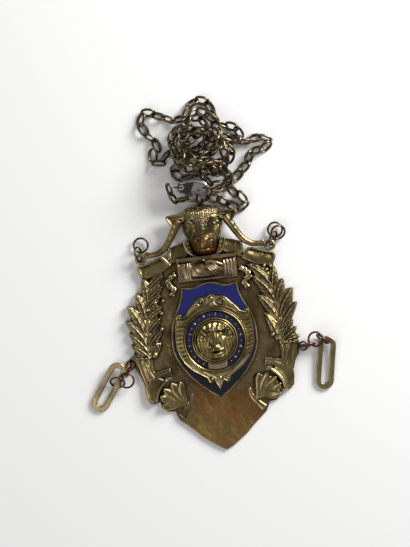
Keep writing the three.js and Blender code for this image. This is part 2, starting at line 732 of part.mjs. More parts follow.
function ear(side) {
  const middle = HEAD_FLOOR + HEAD_RISE * 0.55;
  return solid(loft(EAR_SECTIONS.map(([x, y, breadth]) => {
    const half = breadth * HEAD_LENGTH;
    const px = x * HEAD_HALF_WIDTH * side;
    return [
      new THREE.Vector3(px, headY(y) + half, middle),
      new THREE.Vector3(px, headY(y), middle + 0.9 * half ** 0.5),
      new THREE.Vector3(px, headY(y) - half, middle + 0.2),
      new THREE.Vector3(px, headY(y), middle - 0.8 * half ** 0.5),
    ];
  })));
}

// Brow, eyes, nostrils and curls on the face: x, y, half length, half width, height, rise
const FACE_FORMS = [
  [0.66, 0.635, 1.5, 1.1, 0.78, 1.3],
  [0.34, 0.34, 1.5, 1.0, 0.86, 0.9],
  [0.3, 0.72, 1.8, 1.5, 0.93, 1.0],
  [0.3, 0.88, 1.8, 1.4, 0.9, 1.0],
  [0, 0.8, 1.8, 1.6, 0.97, 1.0],
];

function bullHead() {
  const bodies = [solid(loft(HEAD_SECTIONS.map(([along, width, rise]) => arch(
    10, width * HEAD_HALF_WIDTH, rise * HEAD_RISE,
    (across, height) => new THREE.Vector3(across, headY(along), HEAD_FLOOR + height),
  ))))];
  for (const side of [1, -1]) {
    bodies.push(ear(side), horn(side));
    const eye = HORN_EYELET;
    bodies.push(disc(EYELET_RADIUS, EYELET_MIDDLE - EYELET_HALF, EYELET_MIDDLE + EYELET_HALF, eye.x * side, eye.y, 14));
  }
  for (const [x, y, halfLength, halfWidth, height, rise] of FACE_FORMS) {
    const foot = HEAD_FLOOR + height * HEAD_RISE - rise * 0.5;
    for (const side of x > 0 ? [1, -1] : [1]) {
      bodies.push(mound(x * HEAD_HALF_WIDTH * side, headY(y), foot, halfLength, halfWidth, rise));
    }
  }
  let body = join(bodies);
  for (const side of [1, -1]) {
    body = body.subtract(disc(EYELET_HOLE, 0, HEAD_RISE, HORN_EYELET.x * side, HORN_EYELET.y, 12));
  }
  return body;
}

// Bail: a strap behind the head and a ring that stands up past the crown

function bail() {
  const crown = headY(1);
  const centreY = crown + GAP + BAIL_RADIUS + BAIL_WIRE / 2;
  const centreZ = BAIL_RADIUS + BAIL_WIRE / 2 + 0.1;
  const ring = new THREE.TorusGeometry(BAIL_RADIUS, BAIL_WIRE / 2, 6, 14);
  ring.rotateY(Math.PI / 2);
  ring.translate(0, centreY, centreZ);
  const top = PLATE_EDGE[0][1] * PLAQUE_REACH_UP;
  const strap = block(-BAIL_STRAP / 2, BAIL_STRAP / 2, top + GAP * 2, centreY - BAIL_RADIUS * 0.5, 0.3, PLATE);
  return solid(ring).add(strap);
}

// Jump rings and oval links. Lean is from level, turn is the way of the ring's level axis, in degrees.

function ringGeometry(radius, wire) {
  return new THREE.TorusGeometry(radius, wire / 2, 6, 14);
}

function addRing(name, x, y, z, lean, turn, colour, radius = RING_RADIUS, wire = RING_WIRE) {
  const mesh = addMesh(name, ringGeometry(radius, wire), colour);
  mesh.rotation.order = 'ZYX';
  mesh.rotation.set(THREE.MathUtils.degToRad(lean), 0, THREE.MathUtils.degToRad(turn));
  mesh.position.set(x, y, z);
}

// Each ring by name: where its centre lies from its eyelet, height over the table, lean and turn
const UPPER_RINGS = {
  left: [
    ['upper_left_ring_1', -0.6, 2.35, 3.33, 64, 97.5],
    ['upper_left_ring_2', 0.75, 6.2, 1.87, 6.5, 10],
  ],
  right: [
    ['upper_right_ring_1', 1.65, 2.8, 3.42, 67, 61.5],
    ['upper_right_ring_2', 3.05, 6.55, 2.03, 3.5, -10],
    ['upper_right_ring_3', 4.2, 5.2, 3.3, 29, 30],
  ],
};
const LOWER_RINGS = {
  left: [
    ['lower_left_ring_1', -0.9, -1.86, 3.63, 84, 69],
    ['lower_left_ring_2', -2.34, -6.59, 3.85, 7, 4],
    ['lower_left_ring_3', -6.6, -6.97, 2.82, 47, -17],
  ],
  right: [
    ['lower_right_ring_1', 2.05, 0.39, 3.62, 82, 2],
    ['lower_right_ring_2', 5.72, 2.53, 4.6, 5, 16],
    ['lower_right_ring_3', 8.89, 2.2, 3.73, 79, -43],
  ],
};

function addRings(rings, eyelet, colour) {
  for (const [name, x, y, z, lean, turn] of rings) addRing(name, eyelet.x + x, eyelet.y + y, z, lean, turn, colour);
}

function ovalLink() {
  const shape = stadium(OVAL_LENGTH, OVAL_WIDTH);
  const slot = stadium(OVAL_LENGTH - 2 * OVAL_BAND, OVAL_WIDTH - 2 * OVAL_BAND);
  return prism(shape, 0, OVAL_THICKNESS).subtract(prism(slot, -1, OVAL_THICKNESS + 1));
}

// An oval with half-round ends, lengthwise on Y
function stadium(length, width, sides = 10) {
  const points = [];
  const reach = (length - width) / 2;
  for (const end of [1, -1]) {
    for (let k = 0; k <= sides; k += 1) {
      const angle = Math.PI * k / sides;
      const x = Math.cos(angle) * width / 2 * end;
      const y = (reach + Math.sin(angle) * width / 2) * end;
      points.push(new THREE.Vector2(x, y));
    }
  }
  return points;
}

// Hangs an oval link by its upper end, which lies a little way from its eyelet and is lifted off the table
function addOvalLink(name, side, x, y, lift, turn) {
  const mesh = addMesh(name, ovalLink(), 'oldBrass');
  const way = THREE.MathUtils.degToRad(turn);
  const tilt = Math.asin(lift / OVAL_LENGTH);
  const reach = OVAL_LENGTH / 2 * Math.cos(tilt);
  mesh.rotation.order = 'ZYX';
  mesh.rotation.set(tilt, 0, way);
  const endX = LOWER_EYELET.x * side + x;
  const endY = LOWER_EYELET.y + y;
  mesh.position.set(endX + Math.sin(way) * reach, endY - Math.cos(way) * reach, lift / 2);
}

// Clasp, in its own plane: u runs from the eye to the beak, v across

const PIVOT = new THREE.Vector2(CLASP_LENGTH * 0.41, -CLASP_WIDTH * 0.29);
const MOUTH_END = CLASP_LENGTH * 0.83;

function claspOutline(shrink) {
  const shares = [
    [0, 0], [0.03, 0.2], [0.1, 0.29], [0.2, 0.32], [0.34, 0.45], [0.52, 0.5], [0.7, 0.47], [0.86, 0.36],
    [0.96, 0.18], [1, -0.04], [0.97, -0.24], [0.88, -0.4], [0.8, -0.45], [0.6, -0.47], [0.42, -0.48],
    [0.32, -0.42], [0.2, -0.3], [0.1, -0.28], [0.03, -0.2],
  ];
  const outline = shares.map(([u, v]) => new THREE.Vector2(u * CLASP_LENGTH, v * CLASP_WIDTH));
  return grown(outline, -shrink);
}

function claspBody() {
  const half = CLASP_THICKNESS / 2;
  const hole = claspOutline(CLASP_ARM).filter((point) => point.x > CLASP_LENGTH * 0.38);
  let body = prism(claspOutline(0), -half, half).subtract(prism(hole, -half - 1, half + 1));
  body = body.subtract(disc(CLASP_EYE_HOLE, -half - 1, half + 1, CLASP_EYE, 0, 12));
  const mouth = block(PIVOT.x, MOUTH_END, -CLASP_WIDTH, PIVOT.y + LEVER_EYE + GAP, -half - 1, half + 1);
  const cheeks = disc(LEVER_EYE + GAP, -half - 1, half + 1, PIVOT.x, PIVOT.y, 14);
  body = body.subtract(mouth.subtract(cheeks));
  const slotHalf = LEVER_THICKNESS / 2 + GAP * 0.7;
  body = body.subtract(disc(LEVER_EYE + GAP * 1.5, -slotHalf, slotHalf, PIVOT.x, PIVOT.y, 14));
  return body.add(disc(PIN_RADIUS, -half, half, PIVOT.x, PIVOT.y, 10));
}

function claspLever() {
  const half = LEVER_THICKNESS / 2;
  const eye = disc(LEVER_EYE, -half, half, PIVOT.x, PIVOT.y, 14);
  const armTop = PIVOT.y + LEVER_EYE * 0.75;
  const arm = block(PIVOT.x, MOUTH_END - GAP * 0.7, armTop - 1.1, armTop, -half, half);
  const thumb = disc(0.95, -half, half, PIVOT.x + 1.9, PIVOT.y - 1.5, 10);
  const neck = block(PIVOT.x + 1.1, PIVOT.x + 2.5, PIVOT.y - 1.5, armTop, -half, half);
  const body = join([eye, arm, thumb, neck]);
  return body.subtract(disc(PIN_RADIUS + GAP * 0.6, -half - 1, half + 1, PIVOT.x, PIVOT.y, 12));
}

// The pile was laid out for a crown at this height, and moves with the crown
const PILE_CROWN = 61.2;
const PILE_SHIFT = headY(1) - PILE_CROWN;
const CLASP_PLACE = { x: -9.4, y: 70 + PILE_SHIFT, z: 9.3, turn: -8 };
const CLASP_EYE = CLASP_LENGTH * 0.135;
const CLASP_EYE_HOLE = 1.25;
const CLASP_RING_RADIUS = 1.75;
const END_RING_RADIUS = 2.35;
const SMALL_WIRE = 0.75;

function addClasp() {
  const clasp = new THREE.Group();
  clasp.position.set(CLASP_PLACE.x, CLASP_PLACE.y, CLASP_PLACE.z);
  clasp.rotation.set(0, 0, THREE.MathUtils.degToRad(CLASP_PLACE.turn));
  addMesh('clasp_body', claspBody(), 'steel', clasp);
  addMesh('clasp_lever', claspLever(), 'steel', clasp);
  const eyeRing = addMesh('clasp_ring', ringGeometry(CLASP_RING_RADIUS, SMALL_WIRE), 'oldBrass', clasp);
  eyeRing.rotation.x = Math.PI / 2;
  eyeRing.position.set(CLASP_EYE + SMALL_WIRE * 0.3 - CLASP_RING_RADIUS, 0, 0);
  const endRing = addMesh('end_ring', ringGeometry(END_RING_RADIUS, SMALL_WIRE), 'oldBrass', clasp);
  endRing.rotation.x = Math.PI / 2;
  endRing.position.set(CLASP_LENGTH - CLASP_ARM - SMALL_WIRE * 1.8 + END_RING_RADIUS, SMALL_WIRE * 0.4, 0);
  chainOfOffice.add(clasp);
}

// Chain

// Where the chain runs, seen from above, and how high its middle line is held there. It is laid in this
// order, from the clasp's eye, through the bail, and back to the clasp's beak.
const CHAIN_ROUTE = [
  [-12.9, 69.4, 8.6], [-12.6, 66.4, 5.6], [-9.2, 64.6, 3.7], [0, 65.1, 3.7], [9, 62.6, 2.6],
  [15.6, 58.8, 0], [19.4, 58.4, 0], [19, 63.2, 0], [14.6, 66.6, 0], [15, 71, 0], [19.6, 73.6, 0],
  [23.4, 78.6, 0], [26.2, 82.6, 0], [31.6, 83.4, 0], [33.6, 87.4, 0], [28.6, 88.6, 0], [22.6, 87.4, 0],
  [16.4, 90.2, 0], [8.6, 90.4, 0], [1, 86.6, 0], [-6.6, 84.8, 0], [-12.4, 85.4, 0], [-15.6, 81.8, 0],
  [-18.8, 84.6, 0], [-16.4, 90.4, 0], [-20.4, 95.6, 0], [-22.6, 101.4, 0], [-19.2, 105.2, 0],
  [-13.2, 102.6, 0], [-6.6, 100.4, 0], [-1.4, 103.2, 0], [2, 107.6, 0], [7.2, 107.6, 0], [10, 103, 0],
  [13, 96.8, 0], [18.6, 94.6, 0], [21.2, 90.6, 0], [16.2, 87.4, 0], [7, 92.6, 0], [-2, 96.4, 0],
  [-8.4, 94.6, 0], [-9.6, 89, 0], [-4.8, 85.8, 0], [5, 85, 0], [13, 86.6, 0], [16.8, 83, 0],
  [12.6, 79.2, 0], [3, 81.4, 0], [-6, 80.8, 0], [-10, 77.2, 0], [-5.4, 74.4, 0], [3, 75.8, 0],
  [11, 75.8, 0], [14.2, 71.6, 0], [9.8, 69.2, 0], [4.6, 71.6, 0], [0.6, 78, 0], [-3.6, 87, 0],
  [-2.4, 97, 0], [2.6, 100.4, 0], [6.4, 96, 0], [5.6, 86, 0], [5.4, 78.4, 0], [9.2, 74.6, 0],
  [13.2, 78, 0], [13, 86, 0], [11.4, 95, 0], [7.6, 101.4, 0], [2.2, 102.8, 0], [-2, 98.4, 0],
  [-7, 92.6, 0], [-8.6, 84.6, 0], [-6.4, 78.4, 0], [-0.8, 78, 0], [5.6, 82.6, 0], [11.8, 88, 0],
  [9.6, 93.4, 0], [3, 92.8, 0], [-3.4, 88.4, 0], [-6, 83, 0], [-2, 79.6, 0], [4.6, 80.2, 0],
  [10.6, 77.6, 0], [14.2, 72.8, 0], [13, 68.4, 0], [8.6, 67.4, 9.4],
];

function settled(points, held) {
  const count = points.length;
  const step = points[0].distanceTo(points[1]);
  const floor = held.map((height) => Math.max(height, CHAIN_WIDTH / 2));
  let heights = floor.slice();
  for (let round = 0; round < 40; round += 1) {
    const rest = floor.slice();
    for (let k = 0; k < count; k += 1) {
      for (let under = 0; (k - under) * step > CHAIN_NEAR; under += 1) {
        const apart = points[k].distanceTo(points[under]);
        if (apart < CHAIN_LAYER) {
          rest[k] = Math.max(rest[k], heights[under] + Math.sqrt(CHAIN_LAYER ** 2 - apart ** 2));
        }
      }
    }
    const next = heights.slice();
    for (let k = 0; k < count; k += 1) {
      for (let other = 0; other < count; other += 1) {
        next[k] = Math.max(next[k], rest[other] - CHAIN_SLOPE * Math.abs(k - other) * step);
      }
    }
    const change = Math.max(...next.map((height, k) => Math.abs(height - heights[k])));
    heights = next;
    if (change < 1e-6) break;
  }
  return heights;
}

// A path that steps from point to point
class SteppedPath extends THREE.Curve {
  constructor(points) {
    super();
    this.points = points;
  }

  getPoint(share, target = new THREE.Vector3()) {
    const place = share * (this.points.length - 1);
    const k = Math.min(Math.floor(place), this.points.length - 2);
    return target.lerpVectors(this.points[k], this.points[k + 1], place - k);
  }

  getPointAt(share, target) {
    return this.getPoint(share, target);
  }
}

function chainPath() {
  const plan = CHAIN_ROUTE.map(([x, y]) => new THREE.Vector3(x, y + PILE_SHIFT, 0));
  const held = CHAIN_ROUTE.map(([, , z]) => z);
  const run = new THREE.CatmullRomCurve3(plan, false, 'centripetal');
  run.arcLengthDivisions = plan.length * 12;
  const lengths = run.getLengths();
  const total = run.getLength();
  const count = Math.round(total / CHAIN_STEP);
  const points = [];
  const heldAlong = [];
  for (let k = 0; k <= count; k += 1) {
    const share = run.getUtoTmapping(k / count);
    points.push(run.getPoint(share));
    const place = share * (held.length - 1);
    const before = Math.min(Math.floor(place), held.length - 2);
    heldAlong.push(THREE.MathUtils.lerp(held[before], held[before + 1], place - before));
  }
  const heights = settled(points, heldAlong);
  const stations = plan.map((point, k) => {
    const place = lengths[k * 12] / total * count;
    const before = Math.min(Math.floor(place), count - 1);
    const height = THREE.MathUtils.lerp(heights[before], heights[before + 1], place - before);
    return new THREE.Vector3(point.x, point.y, height);
  });
  return new SteppedPath(stations);
}

function chain() {
  const path = chainPath();
  const section = new THREE.Shape(circle(CHAIN_WIDTH / 2, 0, 0, CHAIN_SIDES));
  const steps = CHAIN_ROUTE.length - 1;
  return new THREE.ExtrudeGeometry(section, { steps, extrudePath: path, bevelEnabled: false });
}

// Build

addMesh('plaque', plaque(), 'brass');
addMesh('bull_head', bullHead(), 'brass');
addMesh('handclasp_bar', handclaspBar(), 'copper');
addMesh('shield', shield(), 'brass');
const [enamelUpper, enamelLower] = enamelFields();
addMesh('enamel_upper', enamelUpper, 'blue');
addMesh('enamel_lower', enamelLower, 'blue');
addMesh('enamel_ring', enamelRing(), 'blue');
addMesh('ring_tablet', ringTablet(), 'copper');
addMesh('lion_medallion', lionMedallion(), 'brass');
addMesh('bail', bail(), 'brass');
addRings(UPPER_RINGS.left, new THREE.Vector2(-HORN_EYELET.x, HORN_EYELET.y), 'oldBrass');
addRings(UPPER_RINGS.right, HORN_EYELET, 'oldBrass');
addRings(LOWER_RINGS.left, new THREE.Vector2(-LOWER_EYELET.x, LOWER_EYELET.y), 'oldBrass');
addRings(LOWER_RINGS.right, LOWER_EYELET, 'oldBrass');
addOvalLink('oval_link_left', -1, -3.85, 1.4, 2.47, -34);
addOvalLink('oval_link_right', 1, 11.27, 3.46, 2.06, -9.8);
addClasp();
addMesh('chain', solid(chain()), 'oldBrass');

export default chainOfOffice;
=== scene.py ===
"""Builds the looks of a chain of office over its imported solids: a cast brass pendant that lies on its back,
seen from straight above, with its neck chain in a pile past its head. Outlines are in millimetres, in the
pendant's own frame: +Y to the head, +Z away from the back, the origin under the middle of the medallion."""

import math
import random

import bmesh
import bpy
import numpy as np
from mathutils import Matrix, Vector


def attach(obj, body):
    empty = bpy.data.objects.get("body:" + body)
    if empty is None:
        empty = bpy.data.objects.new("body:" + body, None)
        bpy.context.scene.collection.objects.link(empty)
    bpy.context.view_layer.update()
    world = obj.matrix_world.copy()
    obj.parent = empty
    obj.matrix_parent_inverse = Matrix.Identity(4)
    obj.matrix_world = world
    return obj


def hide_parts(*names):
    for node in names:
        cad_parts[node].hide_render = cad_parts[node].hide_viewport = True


bl_info = {
    "name": "Chain of office",
    "version": (1, 0, 0),
    "blender": (4, 5, 0),
    "location": "3D View > Sidebar > Chain of office",
    "description": "Builds the looks of a cast brass pendant of office and its neck chain",
    "category": "Object",
}

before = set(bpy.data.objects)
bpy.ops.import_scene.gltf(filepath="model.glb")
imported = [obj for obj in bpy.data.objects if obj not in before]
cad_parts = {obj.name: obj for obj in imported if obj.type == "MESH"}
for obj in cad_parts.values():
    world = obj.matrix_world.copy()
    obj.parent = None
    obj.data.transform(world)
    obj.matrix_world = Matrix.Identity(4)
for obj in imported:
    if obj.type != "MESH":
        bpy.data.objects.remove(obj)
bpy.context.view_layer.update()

MM = 0.001
# A flat face larger than this, in square metres, is shaded with crisp rims
BROAD_FACE = 3e-6
# A face larger than this, in square millimetres, gets two rims of this width
RIM_FACE = 4
RIM_WIDTH = 0.16

# Heights of the layers and radii round the medallion, in millimetres. SEAT is the floor under the shield, the
# bar and the head, and the mask's are where its dome starts, fades out and stands.
PLATE = 1.6
LEAF_RISE = 2.0
LEAF_FOOT = 0.3
SEAT = 1.9
POCKET_FLOOR = 3.1
SHIELD_TOP = 4.4
ENAMEL_BOTTOM = 3.4
ENAMEL_TOP = 4.15
ENAMEL_EDGE = 0.14
RING_INNER = 10.3
RING_OUTER = 13.2
RING_SIDES = 96
ORNAMENTS = 28
MEDALLION_RADIUS = 9.4
MEDALLION_TOP = 5.0
MEDALLION_RIM = 8.95
MASK_RADIUS = 8.8
MASK_EDGE = 8.75
MASK_FLOOR = 4.85
# How far above the plate the middle lines of the stems and of the folds lie
STEM_LIFT = 0.6
FOLD_LIFT = 1.3
# Radius of the middle line of an eyelet
EYELET_RADIUS = 1.9

# Right half of the plaque's plate, from the top middle down
PLATE_EDGE = [
    (0, 44.8), (8.8, 45.2), (16.4, 43.6), (16.5, 38.2), (18, 36.8), (20.2, 39.6), (22.4, 39), (25.6, 37),
    (28, 36.3), (31, 36.5), (31.1, 34), (30, 31.6), (29.6, 30.4), (30.2, 26), (32, 22.4), (34, 18),
    (35.2, 12), (35.2, 4.8), (36, 1), (37.2, -3), (37.6, -6.9), (36.8, -9.9), (35, -12.9), (33.8, -16.3),
    (33.4, -21.3), (32.4, -24.7), (29.6, -25.5), (27.6, -25), (27.2, -27.7), (24.8, -29.7), (21.2, -30),
    (20.8, -31.7), (19.6, -34.2), (13.7, -39.3), (10, -43), (3.3, -47.9), (0, -49.5),
]
PIERCINGS = [(22.8, -15.1, 1.68, 0.89), (20.8, 32.8, 0.88, 0.64)]

# Leaves: base, tip, bow of the midrib and width, as on the right
LEAVES_RIGHT = [
    ((29.8, -4.6), (37.8, -4.6), 0.05, 3.8),
    ((29.8, -4.2), (38.4, -2), 0.05, 4.1),
    ((30, -3.4), (37.4, 2.1), 0.08, 4.3),
    ((30.6, -1), (36.0, 5.4), 0.1, 4.8),
    ((30.4, 2.4), (38.7, 13.2), 0.16, 6.0),
    ((30.4, 8.4), (37.4, 19.8), 0.14, 7.7),
    ((29.6, 15.2), (33.5, 24.4), 0.12, 6.0),
    ((28.4, 20.5), (30.2, 30.6), 0.1, 5.5),
    ((28.9, -2.8), (23.4, 10), -0.1, 5.5),
    ((29.2, 7.2), (21.1, 18.4), -0.12, 6.0),
    ((28.6, 15.8), (19.6, 27), -0.16, 7.0),
    ((28, 21.2), (17.6, 32.6), -0.2, 6.5),
]
LEAVES_LEFT = [
    ((29.8, -5.2), (39.4, -4.2), 0.05, 4.6),
    ((30, -4.8), (38, 2), 0.12, 5.3),
    ((29.8, -3.6), (38.4, 7.4), 0.14, 5.8),
    ((30, -1.8), (39.3, 13), 0.2, 6.7),
    ((31, 5), (37.8, 19.7), 0.16, 6.5),
    ((30, 13), (33.4, 24.8), 0.14, 6.0),
    ((28.2, 20.2), (29.3, 31.4), 0.1, 5.8),
    ((28.4, -3.6), (24, 1.8), -0.1, 4.6),
    ((28.8, 1.8), (22.6, 7.6), -0.1, 5.3),
    ((28.9, 7.2), (23, 12.8), -0.1, 5.3),
    ((29.2, 13.4), (21.8, 17.6), -0.1, 5.0),
    ((28.4, 17.8), (22, 22.4), -0.1, 5.0),
    ((27.2, 21.8), (20.4, 26.8), -0.12, 5.3),
    ((26.6, 26.6), (19.4, 31.8), -0.12, 5.0),
]
HUSK_BASE = (15.9, -27.8)
HUSKS = [
    ((17.6, -16.8), -0.06, 5.2),
    ((21.6, -16.9), -0.08, 5.6),
    ((25.4, -19.2), -0.08, 5.4),
    ((27.4, -22.4), -0.03, 4.8),
    ((26.9, -26.8), 0.06, 5.4),
]
STEM = [(29.4, -5), (28.8, 1.2), (29.2, 8), (28.6, 16), (27.6, 23.2), (25.6, 28), (20.8, 32.4)]
CORD_TIE = [(14.4, 31.6), (16.8, 30.2), (18.4, 27.6), (16, 24.8), (17.2, 22)]
FOOT_RIM = [(13, -22.8), (13.8, -26.7), (16.4, -30.2), (18.8, -32.7)]
COLLAR_RIM = [(0, 37.9), (4.2, 38.3), (6.9, 39.9), (8.7, 42.6), (9.4, 45.6)]
MUZZLE_LINE = [(0, 37.9), (2.6, 38.6), (5.2, 40.6), (6.3, 43.2), (7.0, 46.4)]

# Folded bands of the ribbons and the collar: one edge, the other edge, rise, bulge, flutes and slope
BANDS = [
    ([(28.8, -5.0), (28.6, -9.6), (27.8, -14.6)], [(37.3, -5.0), (35.6, -11.2), (33.7, -17.2)],
     1.0, 0.5, 1.5, 0),
    ([(21.6, -10.0), (25.0, -10.8), (29.0, -11.6)], [(20.9, -13.6), (24.6, -14.2), (29.2, -15.8)],
     1.1, 0.3, 0, -0.4),
    ([(24.0, -15.6), (26.9, -19.0), (28.6, -24.2)], [(28.8, -13.4), (33.6, -16.6), (33.2, -24.0)],
     1.0, 0.7, 0, 0.2),
    ([(9.6, 45.0), (13, 44.5), (16.2, 43.2)], [(7.6, 39.6), (11.4, 37.6), (16.3, 36.2)],
     0.9, 0.3, 0.4, 0.4),
    ([(20.2, 39.7), (25.3, 37.7), (30.8, 36.0)], [(15.8, 35.7), (21.2, 32.7), (27.9, 30.9)],
     1.2, 0.25, 0.4, 0.7),
]
RIDGES = [
    ([(20.0, 39.8), (18.3, 38.2), (17.2, 36.6)], 0.7),
    ([(30.8, 36.3), (30.4, 33.8), (29, 31.8)], 0.7),
    ([(31.6, -8.0), (30.8, -11.4), (29, -14.5)], 0.6),
    ([(29, -14.3), (25.6, -12.7), (21.6, -11.3)], 0.45),
    ([(23.6, -15.4), (26.8, -18.7), (28.4, -21.6), (29.0, -24.4)], 0.65),
    ([(20.4, 39.8), (25.2, 37.9), (30.9, 36.2)], 0.5),
    ([(16.3, 43.4), (16.6, 40.8), (16.4, 38.3)], 0.6),
    ([(16.2, 36.0), (21.3, 33.1), (27.8, 31.3)], 0.5),
]
CURL = (30.4, -23.9)
BERRIES_LEFT = [
    (24.8, 19.6, 1.1), (26.2, 1.2, 1.1), (27.6, -3.8, 1.5), (23.3, 7.6, 1.2), (28.9, 16.7, 1.0),
    (25.6, 10.6, 0.9), (22.6, 14.6, 0.9), (24.6, 24.2, 0.9), (21.4, 20.2, 0.9),
]
BERRIES_RIGHT = [(26.1, -0.2, 1.2), (26.6, 29.2, 1.0), (25.6, 31, 0.8), (28.4, 30.6, 0.9)]
LOWER_EYELET = (39.2, -6.98)

# Right half of the shield and of the gilt cartouche that stands in it, from the top middle down
SHIELD_EDGE = [
    (0, 26.5), (3, 26.1), (6, 24.9), (8, 24.6), (10, 24.8), (12.8, 25.2), (13.1, 21.5), (14.5, 17.5),
    (16.3, 14), (17.7, 11), (18.7, 8), (19.4, 3), (19.3, -2.5), (18.3, -6.1), (16.2, -10.4), (12.5, -15.6),
    (8.5, -19.6), (4.5, -23), (0, -26),
]
CARTOUCHE_EDGE = [
    (0, 21.6), (2.2, 20.3), (3.9, 19.9), (5.6, 20), (7.4, 18.6), (9.1, 16.7), (11.1, 14.8), (12.6, 12.6),
    (14.4, 11.9), (15.5, 13.4), (16.7, 12.5), (17.1, 9.8), (17.7, 7.4), (17.9, 3), (17.8, -2.1), (16.9, -5.2),
    (14.9, -9.1), (12, -12.4), (8.5, -14.8), (5.6, -16.6), (4.6, -18.9), (3.2, -19.2), (2.1, -18.2),
    (1.4, -20), (0, -22.4),
]
STRAP_BROW = [(0.8, 17.0), (2.6, 15.6), (5.6, 15.0), (8.6, 13.6), (11.6, 11.4), (14.2, 10.6)]
STRAP_DROP = [(6.8, -13.6), (4.2, -15.4), (1.6, -16.8), (1.2, -19.4)]

# Bull's head: how far along, half width and rise, chin to crown, then the horn's middle line
HEAD_CHIN = 38.6
HEAD_LENGTH = 22.6
HEAD_HALF_WIDTH = 9.3
HEAD_RISE = 7.2
HEAD_SECTIONS = [
    (0, 0.3, 0.3), (0.045, 0.42, 0.42), (0.106, 0.54, 0.5), (0.195, 0.6, 0.52), (0.283, 0.67, 0.54),
    (0.35, 0.76, 0.58), (0.416, 0.87, 0.66), (0.504, 0.97, 0.77), (0.593, 1, 0.87), (0.68, 1, 0.94),
    (0.814, 1, 1), (0.903, 0.93, 0.93), (0.965, 0.76, 0.7), (1, 0.45, 0.38),
]
# Places on the face, right side: middle, half sizes and how far each one rises or sinks
HEAD_FORMS = [
    (0, 49.6, 1.9, 4.6, 2.3), (2.8, 45.5, 0.75, 0.6, -1.5), (3.0, 46.2, 1.8, 1.1, 0.9),
    (6.3, 53.3, 2.2, 1.3, -1.5), (5.9, 55.2, 1.9, 0.7, 0.9), (0, 41.4, 3.8, 0.34, -0.7),
    (0, 39.9, 2.4, 0.7, 0.3), (4.6, 49.0, 1.3, 3.0, -1.0), (7.4, 49.8, 1.3, 2.2, 0.8),
    (0, 46.3, 2.4, 0.28, -0.4), (0, 44.4, 0.3, 1.2, -0.4), (5.9, 46.4, 0.8, 1.5, -0.5),
    (3.4, 51.4, 0.8, 1.5, -0.6), (0, 56.4, 4.0, 3.4, 0.5),
]
FOREHEAD_CURLS = [
    (0.3, 50.8), (-0.7, 52.5), (1.3, 52.5), (-1.9, 54.3), (0.1, 54.2), (2.1, 54.3), (-3.1, 56.1), (-1.1, 56),
    (1, 56), (3.1, 56.1), (-4.3, 57.8), (-2.2, 57.8), (0, 57.8), (2.2, 57.8), (4.4, 57.8), (-3.4, 59.5),
    (-1.2, 59.6), (1.2, 59.6), (3.5, 59.5), (5.7, 59.2),
]
# Eye, its lids, the ear with its root, and the horn with the spur at its end, as on the right
EYE = (6.3, 53.2, 4.5)
UPPER_LID = [(4.5, 53.1, 7.6), (6.3, 54.5, 7.6), (8.3, 53.2, 5.8)]
LOWER_LID = [(4.6, 52.9, 7.5), (6.4, 52.0, 6.9), (8.2, 52.9, 5.7)]
EAR_ROOT = [(8.0, 56.3), (9.6, 56.2), (11.4, 56.0)]
EAR_LOW = [(8.0, 55.0), (11.0, 53.9), (13.5, 53.6), (15.8, 56.9)]
EAR_HIGH = [(8.0, 57.5), (11.0, 57.6), (13.8, 57.5), (15.9, 57.2)]
HORN_LINE = [
    (10.5, 55.1, 5.5), (12.6, 51.7, 5.4), (14.7, 48.1, 5.1), (17.6, 44, 4.8), (21.1, 41.7, 4.4),
    (24.9, 41.2, 4.2), (27.3, 40.9, 4.2),
]
HORN_SPUR = [(24.6, 41.6, 4.3), (26.2, 42.4, 4.2), (27.2, 41.4, 3.6)]
HORN_EYELET = (29.3, 40.0)

# Bar: half length, lower and upper side, and its slabs by lower side, upper side and top
BAR_HALF, BAR_LOW, BAR_HIGH = 13.3, 27.6, 38.2
BAR_SLABS = [(BAR_LOW, BAR_HIGH, 3.9), (36.7, BAR_HIGH, 5.3), (BAR_LOW, 28.3, 4.7)]
BAR_END = 12.7
BAR_END_TOP = 4.7
# Size of the voxels that join the bar
BAR_GRAIN = 0.17
# Arms: how far along, half width and rise, then half their length, their middle line and their floor
ARM_SECTIONS = [
    (0, 3.8, 0.9), (0.13, 3.9, 1.1), (0.14, 4.1, 1.7), (0.165, 4.1, 1.7), (0.17, 3.9, 1.2),
    (0.18, 4.1, 1.7), (0.205, 4.1, 1.7), (0.215, 2.9, 0.9), (0.36, 3.2, 1.5), (0.5, 3.4, 1.7),
    (0.66, 3.0, 1.4), (0.78, 2.3, 1.0), (0.79, 3.8, 1.5), (0.84, 4.1, 1.9), (1, 4.1, 1.6),
]
ARM_REACH, ARM_LINE, ARM_FLOOR = 12.6, 32.2, 3.8
# Middle lines of one finger, from its own middle, and of the thumb
FINGER = [(-0.9, 1.0, 5.6), (0.3, 0, 6.8), (2.0, -1.7, 6.9), (3.2, -3.1, 5.6)]
THUMB = [(-0.4, 35.3, 5.2), (1.6, 35.9, 6.4), (3.8, 35.0, 7.0), (6.2, 33.9, 6.6), (7.6, 33.4, 5.6)]

# Lion's mask, right side: middle, half sizes and how far each part rises or sinks
LION_FORMS = [
    (0, 6.1, 2.8, 1.2, 0.5), (2.2, 4.8, 1.6, 0.7, 0.9), (2.5, 3.1, 1.3, 0.8, -1.1),
    (2.45, 3.1, 0.7, 0.45, 0.75), (0, 0.9, 0.9, 3.7, 1.3), (0, -3.1, 1.9, 0.9, 0.8),
    (0.85, -3.7, 0.4, 0.3, -0.5), (3.3, -0.4, 1.1, 1.9, 0.5), (1.9, -4.3, 1.5, 0.9, 1.0),
    (0, -5.3, 2.9, 0.3, -0.45), (0, -6.0, 2.2, 0.5, 0.85), (0, -7.2, 1.4, 0.8, 0.6),
    (0, 5.4, 0.3, 1.3, -0.4), (2.2, -1.8, 0.45, 1.6, -0.6),
]

